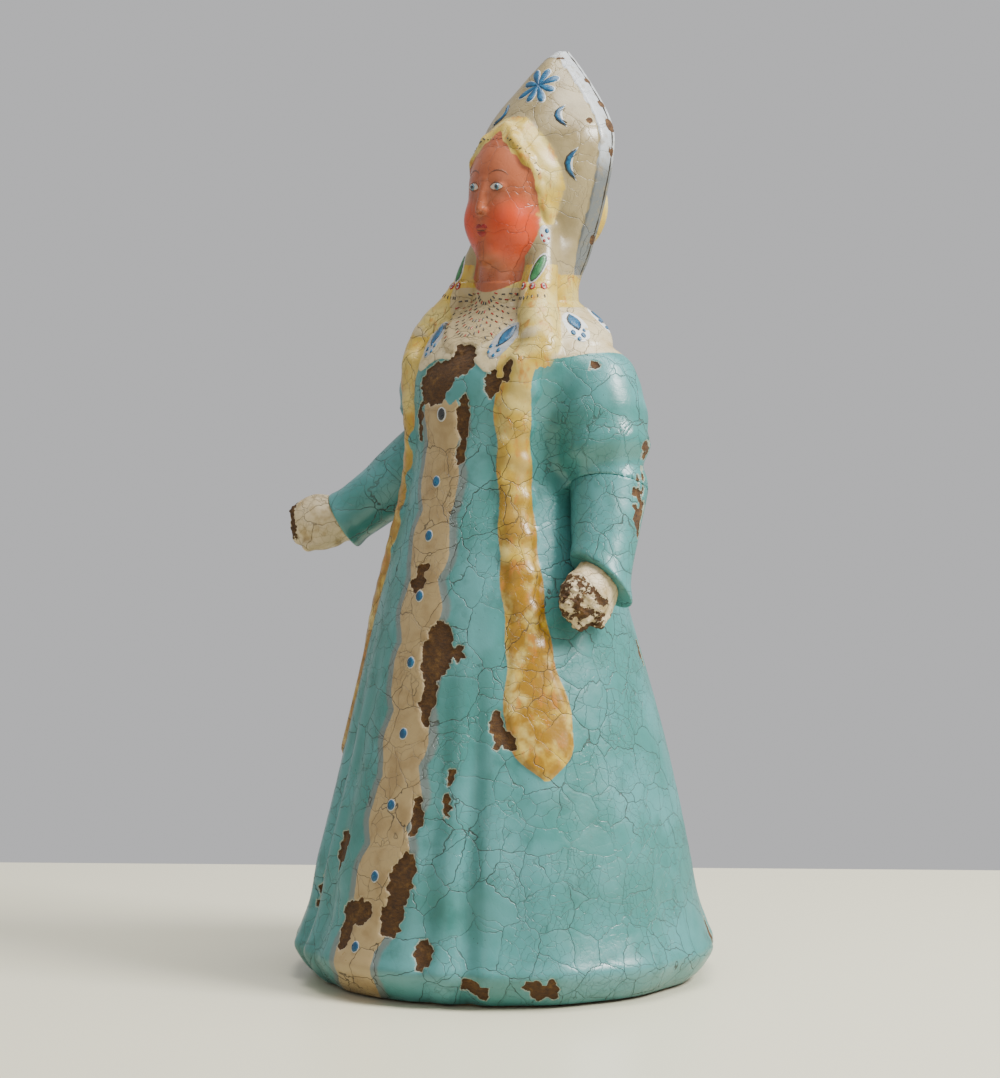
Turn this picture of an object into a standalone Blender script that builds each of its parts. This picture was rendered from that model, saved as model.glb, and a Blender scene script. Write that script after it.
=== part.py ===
"""Papier-mache maiden figure, as the separate pieces it comes apart into on a bench.

Two pressed body shells meet at a seam behind the middle, two head shells meet round the rim of
the pointed headdress, and a cardboard tube joins head to body. Each forearm plugs into the mouth
of a puffed upper sleeve, each hand plugs into a cuff, and a tacked disc closes the skirt.

Metres, +Z up, the figure faces -Y and its left hand is at +X. The origin is the centre of the
base disc's underside. Run it with: blender --background --python part.py
"""

import math

import bmesh
import bpy
from mathutils import Matrix, Vector

MM = 0.001

# Driving dimensions, in millimetres.
WALL = 3.6  # pressed pulp
GAP = 0.3  # left between pieces that touch
SEAM_Y = 24.0  # the body's parting plane, behind the axis
HEM_RADIUS = 97.2
NECK_Z = 304.5  # top of the body shells
NECK_Y = 16.0  # axis of the neck
BASE_RADIUS = 82.0
BASE_THICK = 5.0
BASE_CLEARANCE = 0.6  # between the disc's edge and the hem that hangs round it
HEM_BOTTOM = 1.2
TUBE_RADIUS = 12.0
TUBE_WALL = 1.8
RING_POINTS = 48

# The body's cross sections: height, half width, front and back, each an ellipse.
BODY_ROWS = (
    (HEM_BOTTOM, 87.0, -87.0, 87.0),
    (4.5, 91.0, -91.0, 91.0),
    (9.0, 94.2, -94.2, 94.2),
    (15.0, HEM_RADIUS, -HEM_RADIUS, HEM_RADIUS),
    (21.0, 94.5, -94.5, 94.5),
    (30.0, 91.5, -91.5, 91.5),
    (56.0, 86.0, -86.0, 86.0),
    (80.0, 80.5, -79.5, 81.0),
    (103.0, 75.0, -73.5, 75.5),
    (126.0, 69.0, -68.0, 69.0),
    (149.0, 62.5, -63.0, 62.0),
    (172.0, 56.0, -57.5, 55.0),
    (195.0, 49.5, -51.5, 48.5),
    (218.0, 43.5, -45.5, 43.0),
    (240.0, 41.0, -42.0, 40.5),
    (262.0, 44.0, -40.0, 39.5),
    (274.0, 48.5, -37.0, 40.5),
    (285.0, 50.5, -31.0, 41.5),
    (294.0, 47.0, -22.5, 41.0),
    (300.0, 38.5, -15.5, 39.0),
    (NECK_Z, 29.0, -9.5, 35.6),
)
FLANGE_TOP = 9.3  # the turned-in edge that the base disc is tacked to
FLANGE_BORE = 72.0

# Upper sleeves: along the puff's axis, and how far out it bulges.
PUFF_PROFILE = (
    (0.0, 9.0),
    (6.0, 16.4),
    (16.0, 20.6),
    (28.0, 21.8),
    (42.0, 21.4),
    (51.0, 20.2),
    (57.0, 19.2),
    (63.0, 18.0),
    (78.0, 17.0),
)
PUFF_INSIDE = 8.0  # the puff's axis starts this far above the shoulder point
ARMS = {
    "left": {
        "shoulder": Vector((44.0, 9.0, 278.0)),
        "elbow": Vector((56.0, 8.0, 224.0)),
        "cuff": Vector((65.5, -8.5, 184.0)),
        "cuff_normal": Vector((-0.15, -0.74, -0.66)),
        "hand": Vector((-0.10, -0.78, -0.62)),
        "hand_flat": Vector((0.95, -0.1, 0.0)),
        "radii": (17.6, 16.3, 14.7, 13.9, 14.4),
    },
    "right": {
        "shoulder": Vector((-42.5, 10.0, 278.0)),
        "elbow": Vector((-52.5, 9.0, 236.0)),
        "cuff": Vector((-89.0, -16.0, 204.0)),
        "cuff_normal": Vector((-0.72, -0.49, -0.50)),
        "hand": Vector((-0.80, -0.60, -0.05)),
        "hand_flat": Vector((0.60, -0.80, 0.0)),
        "radii": (18.4, 16.4, 13.8, 13.2, 14.0),
    },
}
FOREARM_STATIONS = (0.0, 0.3, 0.6, 0.85, 1.35)  # shares of the elbow to cuff length that the radii are at
SPIGOT_RADIUS = 11.5
SPIGOT_LENGTH = 9.0
TENON_RADIUS = 6.5
TENON_LENGTH = 8.0
HAND_RADII = (10.6, 13.8, 14.4)
HAND_REACH = 12.4  # from the middle of the cuff to the middle of the hand

# Each braid comes over the shoulder, turns at the bust and hangs straight, leaning a little outward.
BRAID_TURN = 278.0  # height of the turn
BRAID_BEARING = 47.0  # degrees from straight ahead at the turn
BRAID_HANG = 0.053  # degrees further out for each millimetre below the turn
BRAID_SHOULDER = 0.43  # and for each millimetre above it
BRAID_ROWS = (  # height, radius and how proud it stands
    (301.0, 8.0, 2.6),
    (293.0, 8.6, 3.8),
    (286.0, 8.8, 4.0),
    (BRAID_TURN, 8.7, 4.4),
    (262.0, 8.6, 4.2),
    (240.0, 8.4, 4.0),
    (215.0, 8.3, 3.8),
    (190.0, 8.6, 3.4),
    (165.0, 9.0, 3.0),
    (145.0, 11.0, 2.4),
    (128.0, 14.0, 2.0),
    (114.0, 13.0, 1.8),
    (104.0, 8.0, 1.5),
    (98.0, 3.5, 1.0),
)
BRAID_STEPS = 3  # extra points between two rows

# Head: ellipsoids as centre and radii.
HEAD_BOTTOM = NECK_Z + GAP
NECK_ROWS = (
    (HEAD_BOTTOM, 25.0, -5.5, 35.0),
    (314.0, 24.5, -5.5, 34.5),
    (324.0, 24.0, -4.5, 36.0),
    (338.0, 22.0, -4.0, 38.0),
)
FACE = (Vector((0.0, 3.5, 353.0)), Vector((19.4, 18.6, 28.0)))
HAIR = (Vector((0.0, 14.0, 361.0)), Vector((25.0, 25.4, 30.5)))
CHIGNON = (Vector((0.0, 35.0, 350.0)), Vector((25.0, 22.5, 24.5)))
LOCK = (Vector((21.5, 2.0, 313.0)), Vector((8.0, 9.0, 17.0)))
NOSE = (Vector((0.0, -14.5, 350.0)), Vector((3.0, 4.0, 5.5)))

# Headdress: a domed front on a flat back that leans, as height, half width and depth of the dome.
CREST_FOOT = Vector((0.0, 25.0, 316.0))
CREST_LEAN = math.radians(7.5)
CREST_BACK = 3.2
CREST_ROWS = (
    (316.0, 19.0, 16.0),
    (324.0, 23.5, 20.0),
    (334.0, 27.0, 24.0),
    (346.0, 30.2, 27.0),
    (358.0, 32.5, 29.5),
    (372.0, 34.2, 31.5),
    (385.0, 33.0, 30.5),
    (394.0, 27.8, 25.8),
    (403.0, 20.3, 19.8),
    (412.0, 11.8, 13.9),
    (418.0, 5.6, 8.5),
    (421.5, 1.5, 2.8),
)

# Fasteners and paper strips.
TACKS = 8
TACK_CIRCLE = 78.0
TACK_PROFILE = ((0.0, 1.3), (2.6, 1.0), (2.6, 0.5), (0.8, 0.1), (0.7, -8.5), (0.0, -11.0))
TACK_HEAD_Z = 0.6
STRIP_THICK = 0.8
STRIP_HALF_COUNT = 1  # ring points each side of the seam
STRIP_ROWS = (5, 16)  # the rows of BODY_ROWS that the strip runs between

COLOURS = {
    "dress": (0.36, 0.62, 0.60, 1.0),
    "crest": (0.76, 0.71, 0.60, 1.0),
    "hair": (0.85, 0.70, 0.38, 1.0),
    "glove": (0.82, 0.76, 0.66, 1.0),
    "card": (0.47, 0.36, 0.22, 1.0),
    "strip": (0.62, 0.54, 0.40, 1.0),
    "steel": (0.45, 0.44, 0.42, 1.0),
}


def clear_scene():
    for obj in list(bpy.data.objects):
        bpy.data.objects.remove(obj)


def make_collection(name):
    made = bpy.data.collections.new(name)
    bpy.context.scene.collection.children.link(made)
    return made


def make_material(name):
    made = bpy.data.materials.new(name)
    made.use_nodes = True
    shader = made.node_tree.nodes["Principled BSDF"]
    shader.inputs["Base Color"].default_value = COLOURS[name]
    shader.inputs["Roughness"].default_value = 0.35 if name == "steel" else 0.6
    shader.inputs["Metallic"].default_value = 1.0 if name == "steel" else 0.0
    return made


def add_mesh(name, mesh_tools, collection):
    """An object from a bmesh in millimetres, scaled to metres."""
    bmesh.ops.scale(mesh_tools, vec=(MM, MM, MM), verts=mesh_tools.verts)
    bmesh.ops.recalc_face_normals(mesh_tools, faces=mesh_tools.faces)
    mesh = bpy.data.meshes.new(name)
    mesh_tools.to_mesh(mesh)
    mesh_tools.free()
    made = bpy.data.objects.new(name, mesh)
    collection.objects.link(made)
    return made


def as_cutter(obj):
    obj.hide_render = True
    obj.display_type = "WIRE"
    return obj


def ring_point(row, angle, inset=0.0):
    """A point of a cross section: angle 0 is straight ahead and 90 degrees is the figure's left."""
    z, half_width, front, back = row
    middle = (front + back) / 2
    depth = (back - front) / 2
    return Vector((
        (half_width - inset) * math.sin(angle),
        middle - (depth - inset) * math.cos(angle),
        z,
    ))


def ring_angles():
    return [2 * math.pi * i / RING_POINTS for i in range(RING_POINTS)]


def loft(name, rows, collection, inset=0.0):
    """A closed solid through the cross sections, with a flat cap at each end."""
    tools = bmesh.new()
    rings = [
        [tools.verts.new(ring_point(row, angle, inset)) for angle in ring_angles()]
        for row in rows
    ]
    for low, high in zip(rings, rings[1:]):
        for i in range(RING_POINTS):
            j = (i + 1) % RING_POINTS
            tools.faces.new((low[i], low[j], high[j], high[i]))
    tools.faces.new(rings[0])
    tools.faces.new(rings[-1])
    return add_mesh(name, tools, collection)


def row_at(rows, z):
    """The cross section at a height between two rows."""
    for low, high in zip(rows, rows[1:]):
        if low[0] <= z <= high[0]:
            share = (z - low[0]) / (high[0] - low[0])
            return tuple(a + share * (b - a) for a, b in zip(low, high))
    raise ValueError(f"no cross section at {z}")


def ellipsoid(name, centre, radii, collection, inset=0.0, segments=24, rings=14):
    tools = bmesh.new()
    bmesh.ops.create_uvsphere(tools, u_segments=segments, v_segments=rings, radius=1.0)
    bmesh.ops.scale(tools, vec=radii - Vector((inset, inset, inset)), verts=tools.verts)
    bmesh.ops.translate(tools, vec=centre, verts=tools.verts)
    return add_mesh(name, tools, collection)


def frame_along(direction, flat=None):
    """Rotation that takes +Z to direction and +X as near as it can to flat."""
    axis_z = direction.normalized()
    flat = flat or (Vector((0, 1, 0)) if abs(axis_z.y) < 0.9 else Vector((1, 0, 0)))
    axis_y = axis_z.cross(flat).normalized()
    axis_x = axis_y.cross(axis_z)
    return Matrix((axis_x, axis_y, axis_z)).transposed().to_4x4()


def turned(name, profile, start, direction, collection, steps=24):
    """A solid turned round a line: the profile is distance along it and radius."""
    tools = bmesh.new()
    rings = []
    for along, radius in profile:
        if radius < 1e-6:
            rings.append([tools.verts.new((0.0, 0.0, along))])
            continue
        rings.append([
            tools.verts.new((
                radius * math.cos(2 * math.pi * i / steps),
                radius * math.sin(2 * math.pi * i / steps),
                along,
            ))
            for i in range(steps)
        ])
    for low, high in zip(rings, rings[1:]):
        for i in range(steps):
            j = (i + 1) % steps
            corners = [low[i % len(low)], low[j % len(low)], high[j % len(high)], high[i % len(high)]]
            tools.faces.new(list(dict.fromkeys(corners)))
    for end in (rings[0], rings[-1]):
        if len(end) > 1:
            tools.faces.new(end)
    bmesh.ops.transform(
        tools, matrix=Matrix.Translation(start) @ frame_along(direction), verts=tools.verts
    )
    return add_mesh(name, tools, collection)


def block(name, centre, size, collection, turn=None):
    tools = bmesh.new()
    bmesh.ops.create_cube(tools, size=1.0)
    bmesh.ops.scale(tools, vec=size, verts=tools.verts)
    matrix = Matrix.Translation(centre) @ (turn or Matrix.Identity(4))
    bmesh.ops.transform(tools, matrix=matrix, verts=tools.verts)
    return add_mesh(name, tools, collection)


def boolean(obj, operation, *others):
    for other in others:
        modifier = obj.modifiers.new(f"{operation.lower()} {other.name}", "BOOLEAN")
        modifier.operation = operation
        modifier.object = other
        modifier.solver = "EXACT"


def copy_of(obj, name, collection):
    made = bpy.data.objects.new(name, obj.data)
    collection.objects.link(made)
    return made


def finish_piece(obj, material, smooth_angle=35.0):
    obj.data = obj.data.copy()
    obj.data.materials.clear()
    obj.data.materials.append(material)
    obj.data.shade_smooth()
    obj.data.set_sharp_from_angle(angle=math.radians(smooth_angle))


def smoothed(rows, steps):
    """The rows with steps more between each two, on a curve through all of them."""
    padded = [rows[0], *rows, rows[-1]]
    curve = []
    for before, start, end, after in zip(padded, padded[1:], padded[2:], padded[3:]):
        for i in range(steps + 1):
            t = i / (steps + 1)
            curve.append(tuple(
                b + 0.5 * t * (c - a + t * (2 * a - 5 * b + 4 * c - d + t * (3 * (b - c) + d - a)))
                for a, b, c, d in zip(before, start, end, after)
            ))
    return [*curve, rows[-1]]


def braid_bearing(z):
    """Degrees from straight ahead that the braid lies at."""
    below, above = max(BRAID_TURN - z, 0.0), max(z - BRAID_TURN, 0.0)
    return BRAID_BEARING + below * BRAID_HANG + above * BRAID_SHOULDER


def braid(side, sign, collection):
    """A tapered rope that lies half sunk in the bodice and skirt, and ends in a tuft."""
    rows = [(z, braid_bearing(z), radius, proud) for z, radius, proud in BRAID_ROWS]
    rows = smoothed(rows, BRAID_STEPS)
    body = smoothed(BODY_ROWS, BRAID_STEPS)
    curve = bpy.data.curves.new(f"{side}_braid_line", "CURVE")
    curve.dimensions = "3D"
    curve.bevel_depth = MM
    curve.bevel_resolution = 2
    curve.use_fill_caps = True
    line = curve.splines.new("POLY")
    line.points.add(len(rows) - 1)
    for point, (z, degrees, radius, proud) in zip(line.points, rows):
        place = ring_point(row_at(body, z), sign * math.radians(degrees), inset=radius - proud)
        point.co = (*(place * MM), 1.0)
        point.radius = radius
    guide = bpy.data.objects.new(curve.name, curve)
    collection.objects.link(guide)
    made = curve_to_mesh(guide, f"{side}_braid_relief", collection)
    return as_cutter(made)


def curve_to_mesh(guide, name, collection):
    """The curve as a closed mesh object. The curve is removed."""
    bpy.context.view_layer.update()
    graph = bpy.context.evaluated_depsgraph_get()
    mesh = bpy.data.meshes.new_from_object(guide.evaluated_get(graph))
    tools = bmesh.new()
    tools.from_mesh(mesh)
    bmesh.ops.remove_doubles(tools, verts=tools.verts, dist=1e-5)
    bmesh.ops.recalc_face_normals(tools, faces=tools.faces)
    tools.to_mesh(mesh)
    tools.free()
    made = bpy.data.objects.new(name, mesh)
    made.matrix_world = guide.matrix_world
    collection.objects.link(made)
    bpy.data.objects.remove(guide)
    return made


def puff_parts(side, arm, helpers):
    """The upper sleeve's outside, its hollow, and the mouth that takes the forearm's spigot."""
    axis = (arm["elbow"] - arm["shoulder"]).normalized()
    start = arm["shoulder"] - axis * PUFF_INSIDE
    outside = turned(f"{side}_puff_outside", PUFF_PROFILE, start, axis, helpers)
    inner_profile = [(along + WALL, max(radius - WALL, 4.0)) for along, radius in PUFF_PROFILE]
    inside = turned(f"{side}_puff_inside", inner_profile, start, axis, helpers)
    forearm = (arm["cuff"] - arm["elbow"]).normalized()
    reach = 80.0
    beyond = block(
        f"{side}_sleeve_end", arm["elbow"] + forearm * reach / 2, Vector((90.0, 90.0, reach)),
        helpers, turn=frame_along(forearm),
    )
    floor = block(
        f"{side}_sleeve_floor", arm["elbow"] + forearm * (reach / 2 - WALL), Vector((90.0, 90.0, reach)),
        helpers, turn=frame_along(forearm),
    )
    boolean(outside, "DIFFERENCE", beyond)
    boolean(inside, "DIFFERENCE", floor)
    mouth = turned(
        f"{side}_sleeve_mouth",
        ((-SPIGOT_LENGTH - 2.0, SPIGOT_RADIUS + GAP), (4.0, SPIGOT_RADIUS + GAP)),
        arm["elbow"], forearm, helpers,
    )
    as_cutter(beyond)
    as_cutter(floor)
    return as_cutter(outside), as_cutter(inside), as_cutter(mouth)


def body_shells(parts, helpers, materials):
    """Front and back halves of bodice, upper sleeves and skirt, parted at the seam plane."""
    core = as_cutter(loft("body_core", BODY_ROWS, helpers))
    hollow_rows = [row for row in BODY_ROWS if FLANGE_TOP < row[0] < NECK_Z - WALL]
    first = row_at(BODY_ROWS, FLANGE_TOP)
    last = row_at(BODY_ROWS, NECK_Z - WALL)
    hollow = as_cutter(loft("body_hollow", [first, *hollow_rows, last], helpers, inset=WALL))
    skirt_mouth = as_cutter(turned(
        "skirt_mouth", ((-5.0, FLANGE_BORE), (FLANGE_TOP + 3.0, FLANGE_BORE)),
        Vector((0, 0, 0)), Vector((0, 0, 1)), helpers, steps=RING_POINTS,
    ))
    recess = BASE_RADIUS + BASE_CLEARANCE
    base_recess = as_cutter(turned(
        "base_recess", ((-5.0, recess), (BASE_THICK + GAP, recess)),
        Vector((0, 0, 0)), Vector((0, 0, 1)), helpers, steps=RING_POINTS,
    ))
    neck_hole = as_cutter(turned(
        "neck_hole", ((-20.0, TUBE_RADIUS + GAP), (20.0, TUBE_RADIUS + GAP)),
        Vector((0, NECK_Y, NECK_Z)), Vector((0, 0, 1)), helpers,
    ))
    puffs = {side: puff_parts(side, arm, helpers) for side, arm in ARMS.items()}
    tack_holes = [
        as_cutter(turned(
            f"tack_hole_{i}", ((-1.0, 1.0), (FLANGE_TOP + 2.0, 1.0)), tack_place(i), Vector((0, 0, 1)),
            helpers, steps=10,
        ))
        for i in range(TACKS)
    ]
    size = Vector((400.0, 200.0, NECK_Z))
    middle = NECK_Z / 2
    front_side = as_cutter(block("front_side", Vector((0, SEAM_Y - GAP / 2 - 100, middle)), size, helpers))
    back_side = as_cutter(block("back_side", Vector((0, SEAM_Y + GAP / 2 + 100, middle)), size, helpers))
    braids = [braid(side, sign, helpers) for side, sign in (("left", 1), ("right", -1))]
    for name, keep, reliefs in (
        ("body_front_shell", front_side, braids),
        ("body_back_shell", back_side, []),
    ):
        shell = copy_of(core, name, parts)
        boolean(shell, "UNION", *(puffs[side][0] for side in ARMS), *reliefs)
        boolean(shell, "DIFFERENCE", hollow, *(puffs[side][1] for side in ARMS))
        boolean(shell, "DIFFERENCE", *(puffs[side][2] for side in ARMS))
        boolean(shell, "DIFFERENCE", skirt_mouth, base_recess, neck_hole)
        boolean(shell, "INTERSECT", keep)
        on_this_side = [
            hole for i, hole in enumerate(tack_holes)
            if (tack_place(i).y < SEAM_Y) == (name == "body_front_shell")
        ]
        boolean(shell, "DIFFERENCE", *on_this_side)
        finish_piece(shell, materials["dress"])


def tack_place(index):
    """Foot of a tack's hole. No tack stands on the seam."""
    angle = 2 * math.pi * (index + 0.5) / TACKS
    return Vector((TACK_CIRCLE * math.sin(angle), TACK_CIRCLE * math.cos(angle), 0.0))


def base_and_tacks(parts, helpers, materials):
    profile = (
        (0.0, BASE_RADIUS - 1.2),
        (1.2, BASE_RADIUS),
        (BASE_THICK - 0.8, BASE_RADIUS),
        (BASE_THICK, BASE_RADIUS - 0.8),
    )
    disc = turned(
        "base_disc", profile, Vector((0, 0, 0)), Vector((0, 0, 1)), parts, steps=RING_POINTS
    )
    for i in range(TACKS):
        seat = turned(
            f"tack_seat_{i}", ((-1.0, 3.0), (1.9, 3.0), (1.9, 1.0), (BASE_THICK + 1.0, 1.0)),
            tack_place(i), Vector((0, 0, 1)), helpers, steps=10,
        )
        boolean(disc, "DIFFERENCE", as_cutter(seat))
    finish_piece(disc, materials["card"])
    for i in range(TACKS):
        profile = [(TACK_HEAD_Z + 1.3 - along, radius) for radius, along in TACK_PROFILE]
        tack = turned(f"base_tack_{i + 1}", profile, tack_place(i), Vector((0, 0, 1)), parts, steps=10)
        finish_piece(tack, materials["steel"])


def seam_strip(side, sign, parts, materials):
    """A glued paper strip that follows the inside of the shells over their seam."""
    rows = BODY_ROWS[STRIP_ROWS[0]:STRIP_ROWS[1]]
    tools = bmesh.new()
    grid = []
    for row in rows:
        z, half_width, front, back = row
        middle = (front + back) / 2
        depth = (back - front) / 2 - WALL
        seam_angle = math.acos(max(-1.0, min(1.0, (middle - SEAM_Y) / depth)))
        nearest = round(seam_angle * RING_POINTS / (2 * math.pi))
        span = range(nearest - STRIP_HALF_COUNT, nearest + STRIP_HALF_COUNT + 1)
        grid.append([
            tools.verts.new(ring_point(row, sign * 2 * math.pi * i / RING_POINTS, inset=WALL + GAP))
            for i in span
        ])
    for low, high in zip(grid, grid[1:]):
        for i in range(len(low) - 1):
            tools.faces.new((low[i], low[i + 1], high[i + 1], high[i]))
    strip = add_mesh(f"{side}_seam_strip", tools, parts)
    solidify = strip.modifiers.new("paper", "SOLIDIFY")
    solidify.thickness = STRIP_THICK * MM
    solidify.offset = -1.0 if strip.data.polygons[0].normal.x * sign > 0 else 1.0
    finish_piece(strip, materials["strip"])


def behind_crest(name, offset, helpers):
    """A block behind the headdress's leaning plane, moved back by offset."""
    turn = Matrix.Rotation(-CREST_LEAN, 4, "X")
    centre = CREST_FOOT + turn @ Vector((0.0, 100.0 + offset, 0.0))
    return as_cutter(block(name, centre, Vector((300.0, 200.0, 500.0)), helpers, turn=turn))


def crest(name, inset, back, helpers):
    """The headdress: ellipses centred on its leaning plane, cut flat behind it."""
    rows = []
    for z, half_width, depth in CREST_ROWS:
        plane = CREST_FOOT.y + (z - CREST_FOOT.z) * math.tan(CREST_LEAN)
        if min(half_width, depth) > inset + 1.0:
            rows.append((z, half_width, plane - depth, plane + depth))
    if inset:
        rows = [row_at(rows, rows[0][0] + inset), *rows[1:]]
    else:
        rows = smoothed(rows, 1)
    made = as_cutter(loft(name, rows, helpers, inset=inset))
    boolean(made, "DIFFERENCE", behind_crest(f"behind_{name}", back, helpers))
    return made


def head_shells(parts, helpers, materials):
    """Face, hair and front of the headdress as one moulding, and the back of the head as the other."""
    neck = loft("neck_outside", NECK_ROWS, helpers)
    solids = [neck, crest("crest_outside", 0.0, CREST_BACK, helpers)]
    hollows = [crest("crest_inside", WALL, 0.0, helpers)]
    for name, (centre, radii) in (("face", FACE), ("hair", HAIR), ("chignon", CHIGNON)):
        solids.append(ellipsoid(f"{name}_outside", centre, radii, helpers))
        hollows.append(ellipsoid(f"{name}_inside", centre, radii, helpers, inset=WALL))
    for sign, side in ((1, "left"), (-1, "right")):
        centre = Vector((sign * LOCK[0].x, LOCK[0].y, LOCK[0].z))
        solids.append(ellipsoid(f"{side}_lock", centre, LOCK[1], helpers, segments=16, rings=10))
    solids.append(ellipsoid("nose", *NOSE, helpers, segments=12, rings=8))
    below = block("below_head", Vector((0, 20, HEAD_BOTTOM - 30.0)), Vector((140, 140, 60)), helpers)
    tube_hole = turned(
        "head_tube_hole", ((-20.0, TUBE_RADIUS + GAP), (40.0, TUBE_RADIUS + GAP)),
        Vector((0, NECK_Y, HEAD_BOTTOM)), Vector((0, 0, 1)), helpers,
    )
    for obj in (*solids, *hollows, below, tube_hole):
        as_cutter(obj)
    back_of_front = behind_crest("head_back_side", -GAP / 2, helpers)
    back_region = behind_crest("head_behind_seam", GAP / 2, helpers)
    for name, operation, side, material in (
        ("head_front_shell", "DIFFERENCE", back_of_front, "crest"),
        ("head_back_shell", "INTERSECT", back_region, "hair"),
    ):
        shell = copy_of(neck, name, parts)
        boolean(shell, "UNION", *solids[1:])
        boolean(shell, "DIFFERENCE", *hollows, below, tube_hole)
        boolean(shell, operation, side)
        finish_piece(shell, materials[material])


def neck_tube(parts, helpers, materials):
    tube = turned(
        "neck_tube", ((-17.0, TUBE_RADIUS), (22.0, TUBE_RADIUS)),
        Vector((0, NECK_Y, NECK_Z)), Vector((0, 0, 1)), parts,
    )
    bore = turned(
        "tube_bore", ((-20.0, TUBE_RADIUS - TUBE_WALL), (25.0, TUBE_RADIUS - TUBE_WALL)),
        Vector((0, NECK_Y, NECK_Z)), Vector((0, 0, 1)), helpers,
    )
    boolean(tube, "DIFFERENCE", as_cutter(bore))
    finish_piece(tube, materials["card"])


def forearm(side, arm, clear_of_body, parts, helpers, materials):
    """A solid pulp forearm: a spigot that enters the puff and a sleeve cut off aslant at the cuff."""
    line = arm["cuff"] - arm["elbow"]
    normal = arm["cuff_normal"].normalized()
    profile = [
        (max(line.length * share, GAP), radius) for share, radius in zip(FOREARM_STATIONS, arm["radii"])
    ]
    sleeve = turned(f"{side}_forearm", profile, arm["elbow"], line, parts)
    spigot = turned(
        f"{side}_spigot",
        ((-SPIGOT_LENGTH, SPIGOT_RADIUS - 1.5), (2.0 - SPIGOT_LENGTH, SPIGOT_RADIUS), (3.0, SPIGOT_RADIUS)),
        arm["elbow"], line, helpers,
    )
    bore = turned(
        f"{side}_cuff_bore",
        ((-TENON_LENGTH - 1.0, TENON_RADIUS + GAP), (20.0, TENON_RADIUS + GAP)),
        arm["cuff"], line, helpers,
    )
    beyond = block(
        f"{side}_beyond_cuff", arm["cuff"] + normal * 40.0, Vector((80.0, 80.0, 80.0)), helpers,
        turn=frame_along(normal),
    )
    boolean(sleeve, "DIFFERENCE", clear_of_body, as_cutter(beyond))
    boolean(sleeve, "UNION", as_cutter(spigot))
    boolean(sleeve, "DIFFERENCE", as_cutter(bore))
    finish_piece(sleeve, materials["dress"])


def hand(side, arm, clear_of_body, parts, helpers, materials):
    """A mitten-shaped pulp hand with a wrist against the cuff and a tenon that enters it."""
    line = (arm["cuff"] - arm["elbow"]).normalized()
    normal = arm["cuff_normal"].normalized()
    along = arm["hand"].normalized()
    tools = bmesh.new()
    bmesh.ops.create_uvsphere(tools, u_segments=18, v_segments=12, radius=1.0)
    bmesh.ops.scale(tools, vec=HAND_RADII, verts=tools.verts)
    place = Matrix.Translation(arm["cuff"] + along * HAND_REACH) @ frame_along(along, arm["hand_flat"])
    bmesh.ops.transform(tools, matrix=place, verts=tools.verts)
    palm = add_mesh(f"{side}_hand", tools, parts)
    wrist = turned(
        f"{side}_wrist", ((-12.0, 10.5), (6.0, 10.5), (11.0, 7.0)), arm["cuff"], along, helpers, steps=18
    )
    tenon = turned(
        f"{side}_tenon", ((-TENON_LENGTH, TENON_RADIUS), (8.0, TENON_RADIUS)), arm["cuff"], line, helpers,
        steps=18,
    )
    behind = block(
        f"{side}_cuff_face", arm["cuff"] - normal * (20.0 - GAP), Vector((80.0, 80.0, 40.0)), helpers,
        turn=frame_along(normal),
    )
    boolean(palm, "UNION", as_cutter(wrist))
    boolean(palm, "DIFFERENCE", as_cutter(behind), clear_of_body)
    boolean(palm, "UNION", as_cutter(tenon))
    finish_piece(palm, materials["glove"])


def main():
    clear_scene()
    parts = make_collection("papier_mache_maiden")
    helpers = make_collection("cutters")
    materials = {name: make_material(name) for name in COLOURS}
    body_shells(parts, helpers, materials)
    base_and_tacks(parts, helpers, materials)
    for side, sign in (("left", 1), ("right", -1)):
        seam_strip(side, sign, parts, materials)
    head_shells(parts, helpers, materials)
    neck_tube(parts, helpers, materials)
    clear_of_body = as_cutter(loft("body_with_clearance", BODY_ROWS, helpers, inset=-2 * GAP))
    for side, arm in ARMS.items():
        forearm(side, arm, clear_of_body, parts, helpers, materials)
        hand(side, arm, clear_of_body, parts, helpers, materials)


main()
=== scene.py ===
"""Papier-mache maiden figure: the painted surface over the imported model.

Lengths are in millimetres until a mesh is made. The figure faces -Y and its left hand is at +X.
The skin of the body and head is one distance field, so that relief flows over the joints between
the shells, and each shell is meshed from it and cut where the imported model's pieces part.
"""

import math
import random

import bmesh
import bpy
import numpy as np
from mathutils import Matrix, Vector
from mathutils.kdtree import KDTree


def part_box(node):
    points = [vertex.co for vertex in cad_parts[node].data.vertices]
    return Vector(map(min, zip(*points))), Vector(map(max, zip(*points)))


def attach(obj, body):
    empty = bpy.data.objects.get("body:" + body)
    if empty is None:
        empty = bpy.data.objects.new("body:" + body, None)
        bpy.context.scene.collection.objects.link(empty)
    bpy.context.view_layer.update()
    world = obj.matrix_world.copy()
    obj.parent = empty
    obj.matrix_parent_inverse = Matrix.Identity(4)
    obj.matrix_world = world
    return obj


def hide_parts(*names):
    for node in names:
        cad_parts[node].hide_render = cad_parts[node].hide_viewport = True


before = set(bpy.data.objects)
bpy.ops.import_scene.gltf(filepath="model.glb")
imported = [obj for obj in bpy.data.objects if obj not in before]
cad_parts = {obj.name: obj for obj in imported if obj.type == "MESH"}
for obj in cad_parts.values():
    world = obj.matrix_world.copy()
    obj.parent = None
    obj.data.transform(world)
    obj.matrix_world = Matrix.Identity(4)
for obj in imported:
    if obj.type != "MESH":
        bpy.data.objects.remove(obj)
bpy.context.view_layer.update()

METRE = 1000.0


def box_of(node):
    low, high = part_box(node)
    return [value * METRE for value in low], [value * METRE for value in high]


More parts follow.
